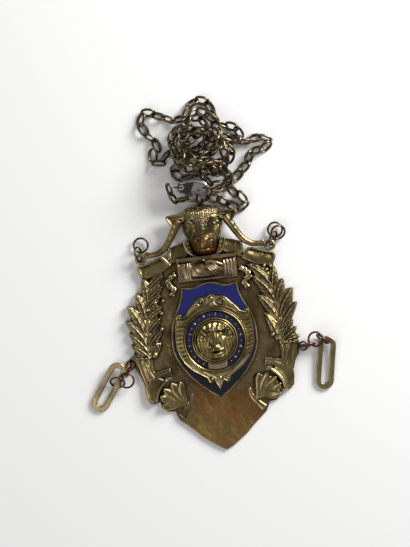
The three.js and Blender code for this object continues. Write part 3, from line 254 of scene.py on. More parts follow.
# Rings by the node that each one stands for: which eyelet, offset from it, height, lean and turn
UPPER_LEFT, UPPER_RIGHT = (-HORN_EYELET[0], HORN_EYELET[1]), HORN_EYELET
LOWER_LEFT, LOWER_RIGHT = (-LOWER_EYELET[0], LOWER_EYELET[1]), LOWER_EYELET
RINGS = {
    "upper_left_ring_1": (UPPER_LEFT, -0.6, 2.35, 3.33, 64, 97.5),
    "upper_left_ring_2": (UPPER_LEFT, 0.75, 6.2, 1.87, 6.5, 10),
    "upper_right_ring_1": (UPPER_RIGHT, 1.65, 2.8, 3.42, 67, 61.5),
    "upper_right_ring_2": (UPPER_RIGHT, 3.05, 6.55, 2.03, 3.5, -10),
    "upper_right_ring_3": (UPPER_RIGHT, 4.2, 5.2, 3.3, 29, 30),
    "lower_left_ring_1": (LOWER_LEFT, -0.9, -1.86, 3.63, 84, 69),
    "lower_left_ring_2": (LOWER_LEFT, -2.34, -6.59, 3.85, 7, 4),
    "lower_left_ring_3": (LOWER_LEFT, -6.6, -6.97, 2.82, 47, -17),
    "lower_right_ring_1": (LOWER_RIGHT, 2.05, 0.39, 3.62, 82, 2),
    "lower_right_ring_2": (LOWER_RIGHT, 5.72, 2.53, 4.6, 5, 16),
    "lower_right_ring_3": (LOWER_RIGHT, 8.89, 2.2, 3.73, 79, -43),
}

# The small rings at the clasp: place along and across it, and radius of the middle line. Then their wire,
# where their ends meet, in degrees, and the clasp's own place, turn and the height of its back.
SMALL_RINGS = [("clasp_ring", 0.446, 0, 1.75), ("end_ring", 14.1, 0.3, 2.35)]
SMALL_WIRE = 0.75
SMALL_SEAM = 140
CLASP_PLACE = (-9.4, 70, 9.3)
CLASP_TURN = -8
CLASP_SIDE = 0.85
# Middle line of the clasp's rounded back, in the clasp's own plane
CLASP_BACK = [(1.3, 1.9), (2.9, 2.1), (5.0, 2.9), (7.6, 3.3), (10.2, 3.0), (12.5, 2.1), (13.6, 0.7)]
# The height that no link of the pile passes, so that the pile stays in the box of the solids
PILE_TOP = 20.1
# The least height of a link over the floor
FLOOR_GAP = 0.02
# Where the chain's middle line runs, from end to end, and the height it is held at there, in metres
CHAIN_ROUTE = [
    (-0.0129, 0.0694, 0.0086), (-0.0126, 0.0664, 0.0056), (-0.0092, 0.0646, 0.0037), (0, 0.0651, 0.0037),
    (0.009, 0.0626, 0.0026), (0.0156, 0.0588, 0), (0.0194, 0.0584, 0), (0.019, 0.0632, 0),
    (0.0146, 0.0666, 0), (0.015, 0.071, 0), (0.0196, 0.0736, 0), (0.0234, 0.0786, 0), (0.0262, 0.0826, 0),
    (0.0316, 0.0834, 0), (0.0336, 0.0874, 0), (0.0286, 0.0886, 0), (0.0226, 0.0874, 0),
    (0.0164, 0.0902, 0), (0.0086, 0.0904, 0), (0.001, 0.0866, 0), (-0.0066, 0.0848, 0),
    (-0.0124, 0.0854, 0), (-0.0156, 0.0818, 0), (-0.0188, 0.0846, 0), (-0.0164, 0.0904, 0),
    (-0.0204, 0.0956, 0), (-0.0226, 0.1014, 0), (-0.0192, 0.1052, 0), (-0.0132, 0.1026, 0),
    (-0.0066, 0.1004, 0), (-0.0014, 0.1032, 0), (0.002, 0.1076, 0), (0.0072, 0.1076, 0), (0.01, 0.103, 0),
    (0.013, 0.0968, 0), (0.0186, 0.0946, 0), (0.0212, 0.0906, 0), (0.0162, 0.0874, 0), (0.007, 0.0926, 0),
    (-0.002, 0.0964, 0), (-0.0084, 0.0946, 0), (-0.0096, 0.089, 0), (-0.0048, 0.0858, 0),
    (0.005, 0.085, 0), (0.013, 0.0866, 0), (0.0168, 0.083, 0), (0.0126, 0.0792, 0), (0.003, 0.0814, 0),
    (-0.006, 0.0808, 0), (-0.01, 0.0772, 0), (-0.0054, 0.0744, 0), (0.003, 0.0758, 0), (0.011, 0.0758, 0),
    (0.0142, 0.0716, 0), (0.0098, 0.0692, 0), (0.0046, 0.0716, 0), (0.0006, 0.078, 0),
    (-0.0036, 0.087, 0), (-0.0024, 0.097, 0), (0.0026, 0.1004, 0), (0.0064, 0.096, 0), (0.0056, 0.086, 0),
    (0.0054, 0.0784, 0), (0.0092, 0.0746, 0), (0.0132, 0.078, 0), (0.013, 0.086, 0), (0.0114, 0.095, 0),
    (0.0076, 0.1014, 0), (0.0022, 0.1028, 0), (-0.002, 0.0984, 0), (-0.007, 0.0926, 0),
    (-0.0086, 0.0846, 0), (-0.0064, 0.0784, 0), (-0.0008, 0.078, 0), (0.0056, 0.0826, 0),
    (0.0118, 0.088, 0), (0.0096, 0.0934, 0), (0.003, 0.0928, 0), (-0.0034, 0.0884, 0), (-0.006, 0.083, 0),
    (-0.002, 0.0796, 0), (0.0046, 0.0802, 0), (0.0106, 0.0776, 0), (0.0142, 0.0728, 0),
    (0.013, 0.0684, 0), (0.0086, 0.0674, 0.0094),
]

# Lamps: name, place and size in metres, and power in watts
SOFTBOXES = [("key softbox", (0.55, 0.45, 0.4), 0.4, 8.2), ("fill softbox", (-0.45, -0.3, 0.7), 0.6, 1.8)]
# Camera: sensor and lens in millimetres, width of the view in metres at the plaque, and turn in degrees
SENSOR, LENS = 36, 200
VIEW_WIDTH = 0.1845
CAMERA_TURN = -6.4


# Settings


def length(name, description, default):
    """A size of the object, in metres."""
    return bpy.props.FloatProperty(
        name=name, description=description, default=default, min=0.0, precision=5, unit="LENGTH"
    )


def colour(name, description, default):
    """A colour of a finish, from its sRGB hex value."""
    return bpy.props.FloatVectorProperty(
        name=name, description=description, default=linear(default), size=4, min=0, max=1, subtype="COLOR"
    )


def linear(hex_value):
    """An sRGB hex colour as linear RGBA."""
    parts = [int(hex_value[k:k + 2], 16) / 255 for k in (1, 3, 5)]
    return (*[c / 12.92 if c <= 0.04045 else ((c + 0.055) / 1.055) ** 2.4 for c in parts], 1.0)


class ReliefSettings(bpy.types.PropertyGroup):
    """Sizes of the cast work."""

    grain: length("Cast grain", "Size of the voxels that join the cast leaves", 0.28 * MM)
    head_grain: length("Head grain", "Size of the voxels that join the bull's head", 0.2 * MM)
    edge: length("Edge", "Rounding of the plate's edges", 0.3 * MM)
    vein: length("Vein depth", "Depth of the leaves' midribs and veins", 0.75 * MM)


class ChainSettings(bpy.types.PropertyGroup):
    """Sizes of the neck chain and its rings."""

    link_length: length("Link length", "Outside length of one link", 7.3 * MM)
    link_width: length("Link width", "Outside width of one link", 5.0 * MM)
    link_wire: length("Link wire", "Thickness of a link's wire", 1.25 * MM)
    pitch: length("Pitch", "Distance from one link to the next", 4.8 * MM)
    ring_radius: length("Ring radius", "Radius of a jump ring's middle line", 3.2 * MM)
    ring_wire: length("Ring wire", "Thickness of a jump ring's wire", 0.95 * MM)


class FinishSettings(bpy.types.PropertyGroup):
    """Colours of the finishes."""

    brass: colour("Brass", "Handled cast brass", "#A08C60")
    gilt: colour("Gilt", "Yellow brass of the shield", "#B5A26E")
    ground: colour("Ground", "Tarnished ground of the plaque", "#8A7654")
    foot: colour("Foot", "Golden brown of the plain foot", "#A2814E")
    # Painted shade as well as tarnish: mixed in where the brass is sheltered
    brass_dark: colour("Brass hollows", "Tarnish in the hollows of the brass", "#211709")
    # Painted highlight as well as wear: mixed in on pointed edges
    brass_bright: colour("Brass edges", "Brass rubbed bright", "#E9DFC4")
    patina: colour("Patina", "Orange-brown patina", "#86532B")
    chain: colour("Chain", "Antique brass of the chain", "#3B3025")
    navy: colour("Ring enamel", "Darker enamel of the ring", "#10164A")
    rings: colour("Rings", "Browned brass of the upper rings", "#7A6448")
    copper: colour("Copper", "Copper-coloured jump rings", "#80564A")
    plated: colour("Plate", "Browned copper plate of the bar", "#AD9675")
    enamel: colour("Enamel", "Royal-blue vitreous enamel", "#0C1862")
    steel: colour("Clasp", "Dull nickel-plated steel", "#4A4943")


# Shapes


def mm(value):
    """A size from the settings, in millimetres."""
    return value / MM


def ends_met(verts):
    """The edges that run between these vertices."""
    chosen = set(verts)
    near = {edge for vert in verts for edge in vert.link_edges}
    return [edge for edge in near if edge.verts[0] in chosen and edge.verts[1] in chosen]


def run(bm, places, sides, closed=False, square=1.0):
    """A round section carried through a list of places, each a matrix that also gives its size."""
    start = bmesh.ops.create_circle(bm, cap_ends=not closed, segments=sides, radius=1.0)["verts"]
    for vert in start:
        vert.co.x = math.copysign(abs(vert.co.x) ** square, vert.co.x)
        vert.co.y = math.copysign(abs(vert.co.y) ** square, vert.co.y)
    bmesh.ops.transform(bm, matrix=places[0], verts=start)
    first = ends_met(start)
    edges, laid = first, list(start)
    for before, after in zip(places, places[1:]):
        moved = bmesh.ops.extrude_edge_only(bm, edges=edges)["geom"]
        verts = [item for item in moved if isinstance(item, bmesh.types.BMVert)]
        bmesh.ops.transform(bm, matrix=after @ before.inverted(), verts=verts)
        edges = ends_met(verts)
        laid += verts
    if closed:
        bmesh.ops.bridge_loops(bm, edges=edges + first)
    else:
        bmesh.ops.holes_fill(bm, edges=edges, sides=0)
    return laid


def along(line, wide, high, up=Vector((0, 0, 1)), closed=False):
    """Places along a line, with the section's first axis across it and its second one up."""
    points = [Vector(p) for p in line]
    places = []
    for k, point in enumerate(points):
        before = points[k - 1] if k or closed else point
        after = points[(k + 1) % len(points)] if k < len(points) - 1 or closed else point
        way = (after - before).normalized()
        across = way.cross(up).normalized()
        rise = across.cross(way).normalized()
        share = k / (len(points) - 1)
        w = wide(share) if callable(wide) else wide
        h = high(share) if callable(high) else high
        turn = Matrix((across, rise, -way)).transposed().to_4x4()
        places.append(Matrix.Translation(point) @ turn @ Matrix.Diagonal((w, h, 1, 1)))
    return places


def eased(points, steps):
    """A smooth line through points."""
    line = [Vector(p) for p in points]
    out = []
    for k in range(len(line) - 1):
        p0 = line[k - 1] if k else 2 * line[0] - line[1]
        p1, p2 = line[k], line[k + 1]
        p3 = line[k + 2] if k + 2 < len(line) else 2 * p2 - p1
        for j in range(steps):
            t = j / steps
            out.append(0.5 * (2 * p1 + (p2 - p0) * t + (2 * p0 - 5 * p1 + 4 * p2 - p3) * t * t
                              + (3 * p1 - 3 * p2 + p3 - p0) * t ** 3))
    out.append(line[-1])
    return out


def lifted(points, z):
    """Plan points at one height."""
    return [Vector((p[0], p[1], z)) for p in points]


def taper(start, change):
    """A size that changes evenly along a line."""
    return lambda share: start + change * share


def rail(bm, points, wide, high, sides=10, steps=6):
    """One section carried along the smooth line through points."""
    run(bm, along(eased(points, steps), wide, high), sides)


def loop(bm, points, wide, high, sides=10, square=1.0):
    """One section carried round a closed line."""
    run(bm, along(points, wide, high, closed=True), sides, closed=True, square=square)


def patch(bm, across, down, surface, foot):
    """A grid over a surface that two shares give, from -1 to 1 across and from 0 to 1 along, on a foot."""
    base = bmesh.ops.create_grid(bm, x_segments=across, y_segments=down, size=1.0)["verts"]
    faces = list({face for vert in base for face in vert.link_faces})
    shares = {vert: (vert.co.x, (vert.co.y + 1) / 2) for vert in base}
    for vert, (u, v) in shares.items():
        vert.co = surface(u, v)
    bmesh.ops.extrude_face_region(bm, geom=faces, use_keep_orig=True)
    for vert in base:
        vert.co.z = foot


def ball(bm, x, y, z, wide, deep, high, turn=0.0, sides=14):
    """An ellipsoid."""
    place = (Matrix.Translation((x, y, z)) @ Matrix.Rotation(turn, 4, "Z")
             @ Matrix.Diagonal((wide, deep, high, 1)))
    bmesh.ops.create_uvsphere(bm, u_segments=sides, v_segments=sides // 2 + 1, radius=1.0, matrix=place)


def round_edges(bm, edges, width, segments):
    """Rounds edges, with the settings that the editor would give."""
    bmesh.ops.bevel(
        bm, geom=edges, offset=width, segments=segments, profile=0.5, material=-1, affect="EDGES",
        clamp_overlap=True,
    )


def slab(bm, outline, bottom, top, edge=0.0, segments=2):
    """A flat piece with its edges rounded and narrow rims in its broad faces."""
    base = [bm.verts.new((p[0], p[1], bottom)) for p in outline]
    face = bm.faces.new(base)
    raised = bmesh.ops.extrude_face_region(bm, geom=[face], use_keep_orig=True)["geom"]
    upper = [item for item in raised if isinstance(item, bmesh.types.BMVert)]
    bmesh.ops.translate(bm, vec=(0, 0, top - bottom), verts=upper)
    if edge > 0:
        round_edges(bm, ends_met(base) + ends_met(upper), edge, segments)
    rimmed(bm)


def rimmed(bm):
    """Lays two narrow rims in each broad face, so that the wear and painted highlight at its corners stay at
    the edge.
    """
    bm.normal_update()
    for _ in range(2):
        broad = [face for face in bm.faces if face.calc_area() > RIM_FACE]
        bmesh.ops.inset_individual(bm, faces=broad, thickness=RIM_WIDTH, use_even_offset=True)


def both_halves(half):
    """A whole outline from its right half."""
    return half + [(-x, y) for x, y in reversed(half) if x > 0]


def to_side(side, points):
    """Right-hand points on the side that is asked for."""
    return [(p[0] * side, *p[1:]) for p in points]


def grown(outline, distance):
    """An outline with each corner moved outwards."""
    count = len(outline)
    area = sum(outline[k - 1][0] * p[1] - p[0] * outline[k - 1][1] for k, p in enumerate(outline))
    way = 1 if area > 0 else -1
    out = []
    for k, p in enumerate(outline):
        a = (Vector(p) - Vector(outline[k - 1])).normalized()
        b = (Vector(outline[(k + 1) % count]) - Vector(p)).normalized()
        first, second = Vector((a.y, -a.x)), Vector((b.y, -b.x))
        shift = (first + second) / max(1 + first.dot(second), 0.5)
        out.append((p[0] + shift.x * distance * way, p[1] + shift.y * distance * way))
    return out


def circle(radius, sides, start=0.0):
    """Points round the origin."""
    angles = [start + k * math.tau / sides for k in range(sides)]
    return [(radius * math.cos(angle), radius * math.sin(angle)) for angle in angles]


def between(table, share):
    """The values of a table at one share of its first column."""
    for low, high in zip(table, table[1:]):
        if share <= high[0]:
            t = (share - low[0]) / (high[0] - low[0])
            t = max(0.0, min(1.0, t))
            return [a + (b - a) * t for a, b in zip(low[1:], high[1:])]
    return list(table[-1][1:])


def placed(bm, name):
    """An object in the scene from a bmesh, which is freed."""
    mesh = bpy.data.meshes.new(name)
    bm.to_mesh(mesh)
    bm.free()
    piece = bpy.data.objects.new(name, mesh)
    bpy.context.scene.collection.objects.link(piece)
    return piece


def in_metres(bm):
    """Scales a bmesh in millimetres to the scene's metres."""
    bmesh.ops.scale(bm, vec=(MM, MM, MM), verts=bm.verts)


def applied(piece):
    """Makes a piece's modifiers part of its mesh."""
    mesh = bpy.data.meshes.new_from_object(piece.evaluated_get(bpy.context.evaluated_depsgraph_get()))
    piece.modifiers.clear()
    piece.data = mesh
    mesh.name = piece.name
    return mesh


def made(bm, name, finish, nodes=(), body="pendant", smooth=50):
    """Turns a bmesh in millimetres into a piece of the object that rides on its body."""
    bmesh.ops.remove_doubles(bm, verts=bm.verts, dist=1e-4)
    bmesh.ops.recalc_face_normals(bm, faces=bm.faces)
    in_metres(bm)
    piece = placed(bm, name)
    piece.data.materials.append(finish)
    rounded(piece.data, smooth)
    settle(piece, nodes, body)
    return piece


def cut_away(piece, bm):
    """Cuts the shapes of a bmesh in millimetres out of a piece."""
    in_metres(bm)
    cutter = placed(bm, "cutter")
    cut = piece.modifiers.new("Cut", "BOOLEAN")
    cut.operation = "DIFFERENCE"
    cut.use_self = True
    cut.object = cutter
    rounded(applied(piece))
    bpy.data.objects.remove(cutter)


def rounded(mesh, angle=50):
    """Smooth shading that keeps sharp edges, and the rims of broad flat faces, crisp."""
    mesh.polygons.foreach_set("use_smooth", [True] * len(mesh.polygons))
    mesh.set_sharp_from_angle(angle=math.radians(angle))
    for face in mesh.polygons:
        if face.area > BROAD_FACE:
            for k in face.loop_indices:
                mesh.edges[mesh.loops[k].edge_index].use_edge_sharp = True


def settle(piece, nodes, body):
    """Puts a piece on its body and hides the nodes that it stands for."""
    for node in nodes:
        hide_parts(node)
    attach(piece, body)


def cast_in_one(bm, name, grain, finish, nodes=()):
    """Joins overlapping shapes in one skin, as one casting is, and softens it a little."""
    bmesh.ops.recalc_face_normals(bm, faces=bm.faces)
    in_metres(bm)
    piece = placed(bm, name)
    remesh = piece.modifiers.new("One skin", "REMESH")
    remesh.mode = "VOXEL"
    remesh.voxel_size = grain
    remesh.use_smooth_shade = True
    soften = piece.modifiers.new("Soften", "SMOOTH")
    soften.factor = 0.5
    soften.iterations = 1
    skin = applied(piece)
    skin.materials.clear()
    skin.materials.append(finish)
    skin.polygons.foreach_set("use_smooth", [True] * len(skin.polygons))
    settle(piece, nodes, "pendant")


def softened(node, name, finish, edge, body="pendant", segments=2, angle=28):
    """A copy of a solid with its flat faces made whole and its edges rounded."""
    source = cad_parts[node]
    bm = bmesh.new()
    bm.from_mesh(source.data)
    bmesh.ops.transform(bm, matrix=source.matrix_world, verts=bm.verts)
    bmesh.ops.scale(bm, vec=(1 / MM,) * 3, verts=bm.verts)
    bmesh.ops.remove_doubles(bm, verts=bm.verts, dist=0.002)
    bmesh.ops.dissolve_limit(bm, angle_limit=math.radians(1.5), verts=bm.verts, edges=bm.edges)
    least = math.radians(angle)
    sharp = [e for e in bm.edges if len(e.link_faces) == 2 and e.calc_face_angle(0) > least]
    round_edges(bm, sharp, edge, segments)
    made(bm, name, finish, [node], body)


# Finishes


def add_node(tree, kind, settings=None, links=None):
    """Adds a node, sets its properties and sockets by name or place, and links what feeds it."""
    node = tree.nodes.new(kind)
    for key, value in (settings or {}).items():
        if isinstance(key, int) or key in node.inputs:
            node.inputs[key].default_value = value
        else:
            setattr(node, key, value)
    for key, source in (links or {}).items():
        tree.links.new(source, node.inputs[key])
    return node


def fresh(name):
    """An empty material, its tree and the place of each point on a piece."""
    material = bpy.data.materials.new(name)
    material.use_nodes = True
    tree = material.node_tree
    tree.nodes.clear()
    place = add_node(tree, "ShaderNodeTexCoord").outputs["Object"]
    return material, tree, place


def close(tree, shader):
    """Ends a material's tree in its output."""
    add_node(tree, "ShaderNodeOutputMaterial", links={"Surface": shader})


def worn_metal_with_painted_light(name, body, hollow, bright, patch_mm, grain_mm, rough, hollow_mm=1.6, rub=(0.51, 0.56),
               dents=0.03, uneven=0.05, stains=(), stipple_mm=0.0):
    """Old metal: tarnish and painted shade in its hollows, wear and painted highlights on its edges,
    with patches of tarnish and a fine grain.
    """
    material, tree, place = fresh(name)
    patches = add_node(
        tree, "ShaderNodeTexNoise", {"Scale": 1 / (patch_mm * MM), "Detail": 5.0}, {"Vector": place}
    )
    grain = add_node(
        tree, "ShaderNodeTexNoise", {"Scale": 1 / (grain_mm * MM), "Detail": 3.0}, {"Vector": place}
    )
    # Painted shade: ambient occlusion mixes the hollow colour into sheltered places, as tarnish and as shade
    shelter = add_node(tree, "ShaderNodeAmbientOcclusion", {"samples": 8, "Distance": hollow_mm * MM})
    open_part = add_node(
        tree, "ShaderNodeMapRange", {"From Min": 0.4, "From Max": 0.98}, {"Value": shelter.outputs["AO"]}
    )
    clouds = add_node(
        tree, "ShaderNodeMapRange", {"From Min": 0.38, "From Max": 0.62, "To Min": 0.35, "To Max": 1.0},
        {"Value": patches.outputs["Fac"]},
    )
    kept = add_node(
        tree, "ShaderNodeMath", {"operation": "MULTIPLY"},
        {0: open_part.outputs["Result"], 1: clouds.outputs["Result"]},
    )
    base = add_node(
        tree, "ShaderNodeMix", {"data_type": "RGBA", 6: hollow, 7: body}, {0: kept.outputs["Value"]}
    )
    tone = base.outputs[2]
    for stain in stains:
        tone = patina_stain(tree, place, tone, *stain)
    # Painted highlight: pointed edges are mixed towards the bright colour, as wear and as highlight
    shape = add_node(tree, "ShaderNodeNewGeometry")
    rubbed_and_highlit = add_node(
        tree, "ShaderNodeMapRange", {"From Min": rub[0], "From Max": rub[1]},
        {"Value": shape.outputs["Pointiness"]},
    )
    broken = add_node(
        tree, "ShaderNodeMath", {"operation": "MULTIPLY"},
        {0: rubbed_and_highlit.outputs["Result"], 1: grain.outputs["Fac"]},
    )
    final = add_node(
        tree, "ShaderNodeMix", {"data_type": "RGBA", 7: bright}, {0: broken.outputs["Value"], 6: tone}
    )
    roughness = add_node(
        tree, "ShaderNodeMapRange", {"To Min": rough[1], "To Max": rough[0]}, {"Value": kept.outputs["Value"]}
    )
    dented = add_node(
        tree, "ShaderNodeBump", {"Strength": 0.7, "Distance": uneven * patch_mm * MM},
        {"Height": patches.outputs["Fac"]},
    )
    bump = add_node(
        tree, "ShaderNodeBump", {"Strength": 0.6, "Distance": dents * MM},
        {"Height": grain.outputs["Fac"], "Normal": dented.outputs["Normal"]},
    )
    if stipple_mm:
        # Pebbled ground, punched round the shield, that fades out on the plain foot
        pebble = add_node(
            tree, "ShaderNodeTexVoronoi",
            {"feature": "SMOOTH_F1", "Scale": 1 / (stipple_mm * MM), "Smoothness": 0.4}, {"Vector": place},
        )
        parts = add_node(tree, "ShaderNodeSeparateXYZ", links={"Vector": place})
        field = add_node(
            tree, "ShaderNodeMapRange",
            {"From Min": -24 * MM, "From Max": -16 * MM, "To Min": 0.05, "To Max": 0.5},
            {"Value": parts.outputs["Y"]},
        )
        bump = add_node(
            tree, "ShaderNodeBump", {"invert": True, "Distance": 0.16 * MM},
            {"Height": pebble.outputs["Distance"], "Strength": field.outputs["Result"],
             "Normal": bump.outputs["Normal"]},
        )
    shader = add_node(
        tree, "ShaderNodeBsdfPrincipled", {"Metallic": 1.0},
        {"Base Color": final.outputs[2], "Roughness": roughness.outputs["Result"],
         "Normal": bump.outputs["Normal"]},
    )
    close(tree, shader.outputs["BSDF"])
    return material


def patina_stain(tree, place, tone, middle, far, near, least, most, colour_name):
    """A tint in soft streaks round one place of the pendant, given in millimetres."""
    away = add_node(
        tree, "ShaderNodeVectorMath", {"operation": "DISTANCE", 1: [c * MM for c in middle]}, {0: place}
    )
    inside = add_node(
        tree, "ShaderNodeMapRange", {"From Min": far * MM, "From Max": near * MM},
        {"Value": away.outputs["Value"]},
    )
    cloud = add_node(
        tree, "ShaderNodeTexNoise", {"Scale": 1 / (STAIN_STREAK * MM), "Detail": 6.0, "Distortion": 0.8},
        {"Vector": place},
    )
    share = add_node(
        tree, "ShaderNodeMapRange", {"From Min": 0.42, "From Max": 0.6, "To Min": least, "To Max": most},
        {"Value": cloud.outputs["Fac"]},
    )
    both = add_node(
        tree, "ShaderNodeMath", {"operation": "MULTIPLY"},
        {0: inside.outputs["Result"], 1: share.outputs["Result"]},
    )
    mixed = add_node(
        tree, "ShaderNodeMix", {"data_type": "RGBA", 7: tint(colour_name)},
        {0: both.outputs["Value"], 6: tone},
    )
    return mixed.outputs[2]


def vitreous_enamel(name, blue):
    """Vitreous enamel, glass fused over metal: deep, glossy, with a faint orange-peel from the kiln."""
    material, tree, place = fresh(name)
    peel = add_node(tree, "ShaderNodeTexNoise", {"Scale": 1 / (1.8 * MM), "Detail": 2.0}, {"Vector": place})
    bump = add_node(
        tree, "ShaderNodeBump", {"Strength": 0.25, "Distance": 0.02 * MM}, {"Height": peel.outputs["Fac"]}
    )
    depth = add_node(tree, "ShaderNodeTexNoise", {"Scale": 1 / (6 * MM), "Detail": 2.0}, {"Vector": place})
    parts = add_node(tree, "ShaderNodeSeparateXYZ", links={"Vector": place})
    # Painted reflection and shade: the coat is painted lighter towards the top and almost black towards the
    # foot
    painted_sheen_to_top = add_node(
        tree, "ShaderNodeMapRange",
        {"From Min": -22 * MM, "From Max": 16 * MM, "To Min": -0.6, "To Max": 0.36},
        {"Value": parts.outputs["Y"]},
    )
    spread = add_node(
        tree, "ShaderNodeMath", {"operation": "ADD", "use_clamp": True},
        {0: depth.outputs["Fac"], 1: painted_sheen_to_top.outputs["Result"]},
    )
    dark = tuple(c * 0.04 for c in blue[:3]) + (1.0,)
    tone = add_node(
        tree, "ShaderNodeMix", {"data_type": "RGBA", 6: dark, 7: blue}, {0: spread.outputs["Value"]}
    )
    shader = add_node(
        tree, "ShaderNodeBsdfPrincipled",
        {"Roughness": 0.12, "IOR": 1.52, "Coat Weight": 0.4, "Coat Roughness": 0.05},
        {"Base Color": tone.outputs[2], "Normal": bump.outputs["Normal"]},
    )
    close(tree, shader.outputs["BSDF"])
    return material


# Length of the streaks in a stain, in millimetres
STAIN_STREAK = 8

# Metals by name: body, hollows, edges, size of the patches and of the grain in millimetres, least and most
# roughness, and what else differs. A colour is a hex value or the name of one in the settings. The hollows'
# colour stands for tarnish and painted shade, the edges' for wear and painted highlights. The grain is drawn
# coarser than a real casting's, so that it shows.
METALS = {
    # Cast brass, handled for years: tarnish and painted shade in the hollows, wear and painted highlights on
    # the high parts
    "aged cast brass": ("brass", "brass_dark", "brass_bright", 9, 0.5, (0.24, 0.42), {}),
    # The same casting metal on the head, where the muzzle has kept an orange-brown patina
    "handled cast brass": (
        "brass", "brass_dark", "brass_bright", 9, 0.5, (0.24, 0.4),
        {"rub": (0.51, 0.57), "uneven": 0.04, "stains": [((0, 42, 8), 6.5, 4.2, 0.6, 0.9, "#6E4720")]},
    ),
    # The flat ground of the casting: browner than the leaves, since nothing rubs it
    "stippled cast brass": (
        "ground", "brass_dark", "brass_bright", 7, 0.5, (0.3, 0.46),
        {"rub": (0.9, 1.0), "uneven": 0.16, "stipple_mm": 0.7,
         "stains": [((0, -42, 1), 24, 12, 0.5, 1.0, "foot"), ((8, -31, 1), 12, 5, 0.1, 0.8, "patina"),
                    ((-9, -26, 1), 9, 4, 0.1, 0.6, "patina")]},
    ),
    # Brass of the shield, smoother and yellower than the leaves
    "gilt struck brass": (
        "gilt", "brass_dark", "brass_bright", 6, 0.4, (0.26, 0.42),
        {"hollow_mm": 1.2, "rub": (0.66, 0.8), "dents": 0.015, "uneven": 0.08},
    ),
    # Drawn brass wire with a brown antique finish that is worn off where the links meet, with painted
    # highlights on its edges and near-black painted shade among the links of the pile
    "antique brass wire": (
        "chain", "#060403", "#CDB892", 5, 0.6, (0.18, 0.36),
        {"hollow_mm": 6, "rub": (0.53, 0.66), "uneven": 0.0},
    ),
    # The upper jump rings, a lighter brown than the chain
    "browned brass wire": (
        "rings", "#1B130B", "brass_bright", 4, 0.5, (0.2, 0.36), {"rub": (0.62, 0.95), "uneven": 0.0},
    ),
    # Jump rings of copper-coloured wire, browned and shiny
    "copper wire": (
        "copper", "#20120C", "#E0B8A4", 4, 0.5, (0.2, 0.36), {"rub": (0.58, 0.9), "uneven": 0.0},
    ),
    # Cast brass whose copper plate has browned, so that only a pink cast is left
    "copper-plated brass": ("plated", "#241A10", "#DCC6AA", 5, 0.4, (0.26, 0.44), {}),
    # Steel clasp with a dull nickel plate, grey and a little scratched
    "nickel-plated steel": (
        "steel", "#1C1B18", "#DAD8D0", 3, 0.35, (0.18, 0.34), {"hollow_mm": 2.5, "dents": 0.01},
    ),
    # The clasp's back, painted pale along its arc as a highlight
    "bright nickel-plated steel": (
        "#B9B9B4", "#1C1B18", "#F0F0EC", 3, 0.35, (0.16, 0.28),
        {"hollow_mm": 1.5, "dents": 0.01, "uneven": 0.03},
    ),
}
ENAMELS = {"vitreous enamel": "enamel", "navy vitreous enamel": "navy"}


def tint(value):
    """A colour as linear RGBA, from its hex value or its name in the settings."""
    return linear(value) if value.startswith("#") else tuple(getattr(bpy.context.scene.chain_finish, value))


def finish_named(name):
    """A finish by name, made on its first use."""
    known = bpy.data.materials.get(name)
    if known:
        return known
    if name in ENAMELS:
        return vitreous_enamel(name, tint(ENAMELS[name]))
    *colours, patch_mm, grain_mm, rough, more = METALS[name]
    return worn_metal_with_painted_light(name, *[tint(value) for value in colours], patch_mm, grain_mm, rough, **more)


# Pieces


def at_share(line, share):
    """The point at one share of a line's points."""
    place = max(0.0, min(share, 1.0)) * (len(line) - 1)
    k = min(int(place), len(line) - 2)
    return line[k].lerp(line[k + 1], place - k)


def bowed(a, b, bow, share):
    """A point and its direction on a line from a to b that bows sideways."""
    way = b - a
    middle = (a + b) / 2 + Vector((-way.y, way.x)) * bow
    point = (1 - share) ** 2 * a + 2 * share * (1 - share) * middle + share * share * b
    return point, (2 * (1 - share) * (middle - a) + 2 * share * (b - middle)).normalized()


def leaf(bm, base, tip, bow, width, side, vein):
    """A laurel leaf: a pointed, arched blade with a raised midrib, two long ribs and fine slanting veins."""
    a, b = Vector((base[0] * side, base[1])), Vector((tip[0] * side, tip[1]))

    def surface(u, v):
        point, slope = bowed(a, b, bow * side, v)
        half = width / 2 * max(math.sin(math.pi * (0.12 + 0.88 * v) ** 0.9), 0.03) ** 0.7
        x, y = point.x - slope.y * half * u, point.y + slope.x * half * u
        body = LEAF_RISE * (0.5 + 0.4 * math.sin(math.pi * (0.1 + 0.75 * v))) * (1 - 0.7 * u * u)
        midrib = vein * math.exp(-(u / 0.16) ** 2)
        ribs = 0.32 * vein * math.cos(math.tau * 1.5 * u)
        slant = 0.16 * vein * math.cos(math.tau * (5 * v - 1.2 * abs(u)))
        return Vector((x, y, PLATE + body + midrib + (ribs + slant) * (1 - abs(u) ** 4)))

    patch(bm, 16, 30, surface, LEAF_FOOT)


def husk(bm, tip, bow, width, side):
    """One husk of the fan at the foot: an arched blade, dished near its end, that swells to a round tip."""
    a, b = Vector((HUSK_BASE[0] * side, HUSK_BASE[1])), Vector((tip[0] * side, tip[1]))

    def surface(u, v):
        point, slope = bowed(a, b, bow * side, v)
        half = width / 2 * (0.36 + 0.7 * v) * max(1 - max(v - 0.75, 0) ** 2 / 0.064, 0.04) ** 0.5
        x, y = point.x - slope.y * half * u, point.y + slope.x * half * u
        body = LEAF_RISE * (0.45 + 0.75 * v) * (1 - 0.8 * u * u)
        hollow = 0.5 * math.exp(-((u + 0.1) / 0.35) ** 2 - ((v - 0.6) / 0.2) ** 2)
        return Vector((x, y, PLATE + body - hollow))

    patch(bm, 14, 24, surface, PLATE / 2)


